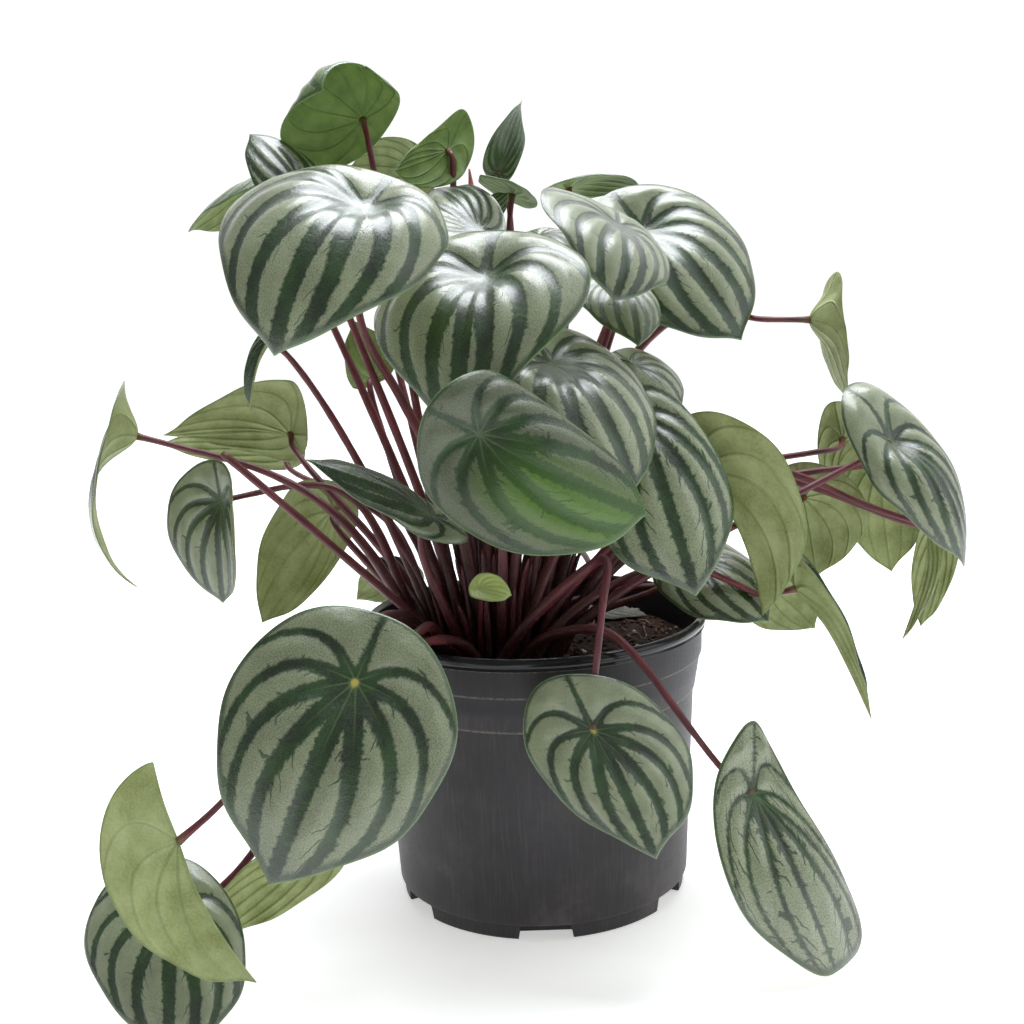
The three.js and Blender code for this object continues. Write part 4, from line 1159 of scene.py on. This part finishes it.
class PEPEROMIA_OT_soil(bpy.types.Operator):
    """Makes the peat that fills the pot"""

    bl_idname = "peperomia.soil"
    bl_label = "Soil"

    def execute(self, context):
        looks = context.scene.peperomia_soil
        rings, sectors = 84, 200
        points = [(0, 0, soil_height(0, 0, looks.lumps))]
        for i in range(1, rings + 1):
            r = SOIL_RADIUS * i / rings
            for j in range(sectors):
                x = r * math.cos(2 * math.pi * j / sectors)
                y = r * math.sin(2 * math.pi * j / sectors)
                points.append((x, y, soil_height(x, y, looks.lumps)))
        body = [(SOIL_RADIUS - 0.4, 100), (STEP_RADIUS - POT_WALL - 0.8, STEP_Z - 4),
            (FOOT_RADIUS - POT_WALL - 1.2, 16), (FOOT_RADIUS - POT_WALL - 8.4, NOTCH_HEIGHT + 0.6)]
        for r, z in body:
            for j in range(sectors):
                a = 2 * math.pi * j / sectors
                points.append((r * math.cos(a), r * math.sin(a), z))
        faces = disc_faces(rings + len(body), sectors)
        last = 1 + (rings + len(body) - 1) * sectors
        faces.append(tuple(last + j for j in range(sectors - 1, -1, -1)))
        soil = make_piece("soil_body", points, faces, [soil_finish(looks)])
        soften(soil, 60)
        place_piece(soil, "peat_soil", "soil")
        return {"FINISHED"}


def lump(pick, at, size, squash, spread):
    """A small uneven lump about a place."""
    phi = (1 + 5**0.5) / 2
    corners = [(0, s, t * phi) for s in (-1, 1) for t in (-1, 1)]
    corners += [(z, x, y) for x, y, z in corners] + [(y, z, x) for x, y, z in corners]
    corners = [Vector(c).normalized() for c in corners]
    spin = pick.uniform(0, 6.28)
    turn = Matrix.Rotation(spin, 3, Vector((pick.gauss(0, 1), pick.gauss(0, 1), 1)))
    points = []
    for c in corners:
        way = turn @ c
        length = size * pick.uniform(1 - spread, 1 + spread)
        points.append((at[0] + way.x * length, at[1] + way.y * length * squash[0],
            at[2] + way.z * length * squash[1]))
    edge = min((corners[0] - c).length for c in corners[1:]) * 1.05
    faces = []
    for a in range(12):
        for b in range(a + 1, 12):
            for c in range(b + 1, 12):
                ends = (corners[a], corners[b], corners[c])
                if max((ends[i] - ends[i - 1]).length for i in range(3)) < edge:
                    out = (ends[1] - ends[0]).cross(ends[2] - ends[0]).dot(ends[0]) > 0
                    faces.append((a, b, c) if out else (a, c, b))
    return points, faces


def on_soil(pick, clear=0.0):
    """A random place on the peat, clear of the crown by so many millimetres."""
    while True:
        r, a = LITTER_RADIUS * math.sqrt(pick.random()), pick.uniform(0, 2 * math.pi)
        x, y = r * math.cos(a), r * math.sin(a)
        if math.hypot(x - CROWN[0], y - CROWN[1]) >= clear:
            return x, y


class PEPEROMIA_OT_litter(bpy.types.Operator):
    """Scatters crumbs, bark, perlite and thin roots on the peat"""

    bl_idname = "peperomia.litter"
    bl_label = "Litter"

    def execute(self, context):
        looks = context.scene.peperomia_soil
        pick = random.Random(11)
        crumbs, chips, grains, roots = [], [], [], []
        for _ in range(looks.crumbs):
            x, y = on_soil(pick)
            size = pick.uniform(0.5, 1.9)
            z = soil_height(x, y, looks.lumps) + size * 0.2
            squash = (pick.uniform(0.6, 1), pick.uniform(0.5, 0.9))
            crumbs.append(lump(pick, (x, y, z), size, squash, 0.25))
        for _ in range(looks.chips):
            x, y = on_soil(pick, 24)
            length, a = pick.uniform(2, 6.5), pick.uniform(0, math.pi)
            tip = np.array((math.cos(a) * length, math.sin(a) * length, pick.uniform(-0.3, 1.2)))
            at = np.array((x, y, soil_height(x, y, looks.lumps) + 0.4))
            line = [at + tip * k / 3 + (0, 0, 0.25 * (k % 2)) for k in range(4)]
            thick = pick.uniform(0.22, 0.6)
            chips.append(tube(line, [thick * 0.5, thick, thick * 0.9, thick * 0.4], 5)[:2])
        spots = [*PERLITE_SEEN, *(on_soil(pick, 30) for _ in range(looks.grains))]
        for k, (x, y) in enumerate(spots):
            size = 1.9 if k < len(PERLITE_SEEN) else pick.uniform(0.5, 1.5)
            z = soil_height(x, y, looks.lumps) + size * 0.35
            grains.append(lump(pick, (x, y, z), size, (0.85, 0.75), 0.18))
        for x, y, degrees in ROOT_STARTS:
            a, line = math.radians(degrees), []
            for k in range(16):
                z = soil_height(x, y, looks.lumps) + 0.5 + 0.9 * math.sin(k * 0.9 + degrees)
                line.append((x, y, z))
                a += pick.uniform(-0.5, 0.5)
                x, y = x + 1.5 * math.cos(a), y + 1.5 * math.sin(a)
                if math.hypot(x, y) > LITTER_RADIUS:
                    break
            curve, _ = smooth_line(line, 3)
            roots.append(tube(curve, np.linspace(0.34, 0.14, len(curve)), 6)[:2])
        kinds = (
            ("peat_crumbs", crumbs, "peat_crumb", (30, 20, 18), (84, 56, 44), 400.0, 0.85),
            ("bark_chips", chips, "bark", (62, 36, 28), (128, 84, 64), 300.0, 0.75),
            ("perlite", grains, "perlite", (206, 202, 200), (238, 236, 232), 700.0, 0.8),
            ("thin_roots", roots, "root", (150, 120, 100), (196, 168, 146), 300.0, 0.6),
        )
        for name, parts, *finish in kinds:
            points, faces = joined(parts)
            piece = make_piece(name, points, faces, [speckled_finish(*finish)])
            place_piece(piece, "peat_soil")
        return {"FINISHED"}


class PEPEROMIA_OT_stalks(bpy.types.Operator):
    """Makes every stalk along its centre line, settled clear of the others"""

    bl_idname = "peperomia.stalks"
    bl_label = "Stalks"

    def execute(self, context):
        looks = context.scene.peperomia_stalk
        skin = stalk_finish(looks)
        for name, (line, radii, _) in stalk_plan().items():
            curve, share = smooth_line(line, STALK_STEPS)
            r = np.interp(share, np.arange(len(radii)), radii)
            seed = sum(map(ord, name)) * 0.7
            r = r * (1 + 0.035 * np.sin(share * 5 + seed) + 0.02 * np.sin(share * 13 + seed))
            bare = name in BARE
            if name == "bare_stalk":
                r[-4:] *= (1.05, 1.12, 1.1, 0.8)
            elif name == "flower_spike":
                r = r * np.interp(share, (0, 6.5, 7.2, 8), (1, 0.9, 1.25, 0.3))
            else:
                r[-3:] *= (1.05, 1.2, 1.45)
            points, faces, uv, along = tube(curve, r, looks.sides)
            pink = np.clip(along * 1.6 - 0.6, 0, 1) if name == "flower_spike" else along * 0.0
            fields = {"along": along, "pink": pink}
            piece_name = name if bare else "stalk_" + name
            piece = make_piece(piece_name + "_skin", points, faces, [skin], uv=uv, fields=fields)
            place_piece(piece, "red_stalk", name if bare else "leaf_" + name)
        return {"FINISHED"}


class PEPEROMIA_OT_crown(bpy.types.Operator):
    """Fills the crown with the short dark feet of old stalks, clear of the living ones"""

    bl_idname = "peperomia.crown"
    bl_label = "Crown"

    def execute(self, context):
        looks = context.scene.peperomia_stalk
        pick = random.Random(23)
        plan = stalk_plan().values()
        curves = [smooth_line(line, STALK_STEPS) for line, _, _ in plan]
        radii = [np.interp(share, np.arange(len(r)), r)
            for (_, share), (_, r, _) in zip(curves, plan)]
        taken = np.vstack([curve for curve, _ in curves])
        reach = np.concatenate(radii)
        feet = []
        for _ in range(looks.tries):
            r, a = FEET_SPREAD * math.sqrt(pick.random()), pick.uniform(0, 2 * math.pi)
            off = r / FEET_SPREAD
            tall, thick = pick.uniform(24, 60) + 34 * (1 - off), pick.uniform(0.9, 1.5)
            lean = off * pick.uniform(0.2, 0.5)
            x, y = CROWN[0] + r * math.cos(a), CROWN[1] + r * math.sin(a)
            base = soil_height(x, y, context.scene.peperomia_soil.lumps) - 1
            line = []
            for k in range(8):
                out = lean * k * k / 49 * tall
                line.append((x + out * math.cos(a), y + out * math.sin(a), base + tall * k / 7))
            curve, share = smooth_line(line, 3)
            size = thick * np.interp(share, (0, 4, 6.4, 7), (1.25, 1, 0.75, 0.2))
            high = curve[:, 2] > SOIL_Z + FEET_BURIED
            apart = np.linalg.norm(curve[high][:, None] - taken[None], axis=2) - reach
            if (apart < size[high][:, None] + FEET_GAP).any():
                continue
            taken, reach = np.vstack([taken, curve]), np.concatenate([reach, size])
            points, faces, uv, along = tube(curve, size, 7)
            feet.append((points, faces, uv, along))
        points, faces = joined([foot[:2] for foot in feet])
        uv = np.vstack([foot[2] for foot in feet])
        along = np.concatenate([foot[3] for foot in feet]) * 0.3
        skin = bpy.data.materials["stalk_skin"]
        piece = make_piece("old_stalk_feet", points, faces, [skin], uv=uv,
            fields={"along": along, "pink": along * 0})
        place_piece(piece, "red_stalk")
        return {"FINISHED"}


class PEPEROMIA_OT_blades(bpy.types.Operator):
    """Makes every striped blade with its veins, silver bands and pale underside"""

    bl_idname = "peperomia.blades"
    bl_label = "Blades"

    def execute(self, context):
        looks = context.scene.peperomia_leaf
        finishes = [upper_finish(looks), under_finish(looks)]
        for name in LEAVES:
            leaf = leaf_shape(name)
            size = placed(leaf)[0]
            rings, sectors = (26, 120) if size > 45 else (20, 96) if size > 25 else (14, 64)
            points, faces, kinds, uv, fields = blade_mesh(name, leaf, looks, rings, sectors)
            piece = make_piece("blade_" + name, points, faces, finishes, kinds, uv, fields)
            place_piece(piece, "striped_leaf", "leaf_" + name)
        return {"FINISHED"}


class PEPEROMIA_OT_dried_leaf(bpy.types.Operator):
    """Makes the dry leaf that lies on the peat"""

    bl_idname = "peperomia.dried_leaf"
    bl_label = "Dried leaf"

    def execute(self, context):
        looks = context.scene.peperomia_leaf
        leaf = {**PLAIN, **DRIED}
        points, faces, _, uv, fields = blade_mesh("dried", leaf, looks, 20, 96)
        piece = make_piece("dried_blade", points, faces, [dry_finish()], None, uv, fields)
        place_piece(piece, "dry_leaf", "dried_leaf")
        return {"FINISHED"}


class PEPEROMIA_OT_stage(bpy.types.Operator):
    """Sets the paper floor, the soft light and the camera"""

    bl_idname = "peperomia.stage"
    bl_label = "Stage"

    def execute(self, context):
        looks = context.scene.peperomia_stage
        scene = context.scene
        turns = np.linspace(0, 2 * math.pi, 65)[:-1]
        ring = [(PAPER_RADIUS * math.cos(a), PAPER_RADIUS * math.sin(a), -0.2) for a in turns]
        floor = make_piece("floor", ring, [tuple(range(len(ring)))], [floor_finish(looks)])
        scene.world = backdrop(looks)
        add_lamp("high_lamp", looks.lamp, 1.15, (0.12, 0.38, 1.75))
        add_lamp("side_lamp", looks.lamp * 0.14, 1.2, (1.5, -0.5, 0.9))
        scene.view_settings.view_transform = "Standard"
        data = bpy.data.cameras.new("camera")
        data.lens, data.sensor_width = looks.lens, 36
        data.clip_start, data.clip_end = 0.01, 50
        data.dof.use_dof = False
        camera = bpy.data.objects.new("camera", data)
        camera.matrix_world = camera_place()
        scene.collection.objects.link(camera)
        scene.camera = camera
        return {"FINISHED"}


def backdrop(looks):
    """White surroundings, bright behind the plant and dim on the camera's side."""
    world = bpy.data.worlds.new("studio")
    world.use_nodes = True
    tree = world.node_tree
    sky = tree.nodes["Background"]
    sky.inputs["Color"].default_value = (1, 1, 1, 1)
    ray = tree.nodes.new("ShaderNodeTexCoord")
    behind = tree.nodes.new("ShaderNodeVectorMath")
    behind.operation = "DOT_PRODUCT"
    behind.inputs[1].default_value = BRIGHT_SIDE
    level = tree.nodes.new("ShaderNodeMapRange")
    tree.links.new(ray.outputs["Generated"], behind.inputs[0])
    tree.links.new(behind.outputs["Value"], level.inputs[0])
    tree.links.new(level.outputs[0], sky.inputs["Strength"])
    for index, value in ((1, 0.45), (2, 0.7), (3, looks.room), (4, looks.sky)):
        level.inputs[index].default_value = value
    return world


def add_lamp(name, power, size, at):
    """A soft square lamp that looks at the plant."""
    data = bpy.data.lights.new(name, "AREA")
    data.energy, data.size = power, size
    data.color = LAMP_COLOUR
    lamp = bpy.data.objects.new(name, data)
    lamp.location = at
    lamp.rotation_euler = (Vector(LAMP_AIM) - Vector(at)).to_track_quat("-Z", "Y").to_euler()
    bpy.context.scene.collection.objects.link(lamp)


def camera_place():
    """The camera's place and turn, from where the photograph was taken."""
    pitch, roll, yaw = CAMERA_PITCH, CAMERA_ROLL, CAMERA_YAW
    flat = math.cos(pitch)
    ahead = Vector((math.sin(yaw) * flat, math.cos(yaw) * flat, -math.sin(pitch)))
    level = Vector((math.cos(yaw), -math.sin(yaw), 0))
    upright = level.cross(ahead)
    right = level * math.cos(roll) + upright * math.sin(roll)
    up = upright * math.cos(roll) - level * math.sin(roll)
    turn = Matrix((right, up, -ahead)).transposed().to_4x4()
    return Matrix.Translation(Vector(CAMERA_AT) * MM) @ turn


class PEPEROMIA_PT_panel(bpy.types.Panel):
    """Lists the pieces and their settings"""

    bl_idname = "PEPEROMIA_PT_panel"
    bl_label = "Peperomia"
    bl_space_type = "VIEW_3D"
    bl_region_type = "UI"
    bl_category = "Peperomia"

    def draw(self, context):
        for step in STEPS:
            self.layout.operator(step.bl_idname)
        for name, group in SETTINGS.items():
            box = self.layout.box()
            for key in group.__annotations__:
                box.prop(getattr(context.scene, name), key)


SETTINGS = {
    "peperomia_pot": PotSettings,
    "peperomia_soil": SoilSettings,
    "peperomia_stalk": StalkSettings,
    "peperomia_leaf": LeafSettings,
    "peperomia_stage": StageSettings,
}
STEPS = (PEPEROMIA_OT_stage, PEPEROMIA_OT_pot, PEPEROMIA_OT_soil, PEPEROMIA_OT_litter,
    PEPEROMIA_OT_stalks, PEPEROMIA_OT_crown, PEPEROMIA_OT_blades, PEPEROMIA_OT_dried_leaf)


def register():
    for group in SETTINGS.values():
        bpy.utils.register_class(group)
    for step in (*STEPS, PEPEROMIA_PT_panel):
        bpy.utils.register_class(step)
    for name, group in SETTINGS.items():
        setattr(bpy.types.Scene, name, bpy.props.PointerProperty(type=group))


def unregister():
    for name in SETTINGS:
        delattr(bpy.types.Scene, name)
    for step in (PEPEROMIA_PT_panel, *reversed(STEPS)):
        bpy.utils.unregister_class(step)
    for group in SETTINGS.values():
        bpy.utils.unregister_class(group)


def main():
    register()
    bpy.ops.peperomia.stage()
    bpy.ops.peperomia.pot()
    bpy.ops.peperomia.soil()
    bpy.ops.peperomia.litter()
    bpy.ops.peperomia.stalks()
    bpy.ops.peperomia.crown()
    bpy.ops.peperomia.blades()
    bpy.ops.peperomia.dried_leaf()


if __name__ == "__main__":
    main()
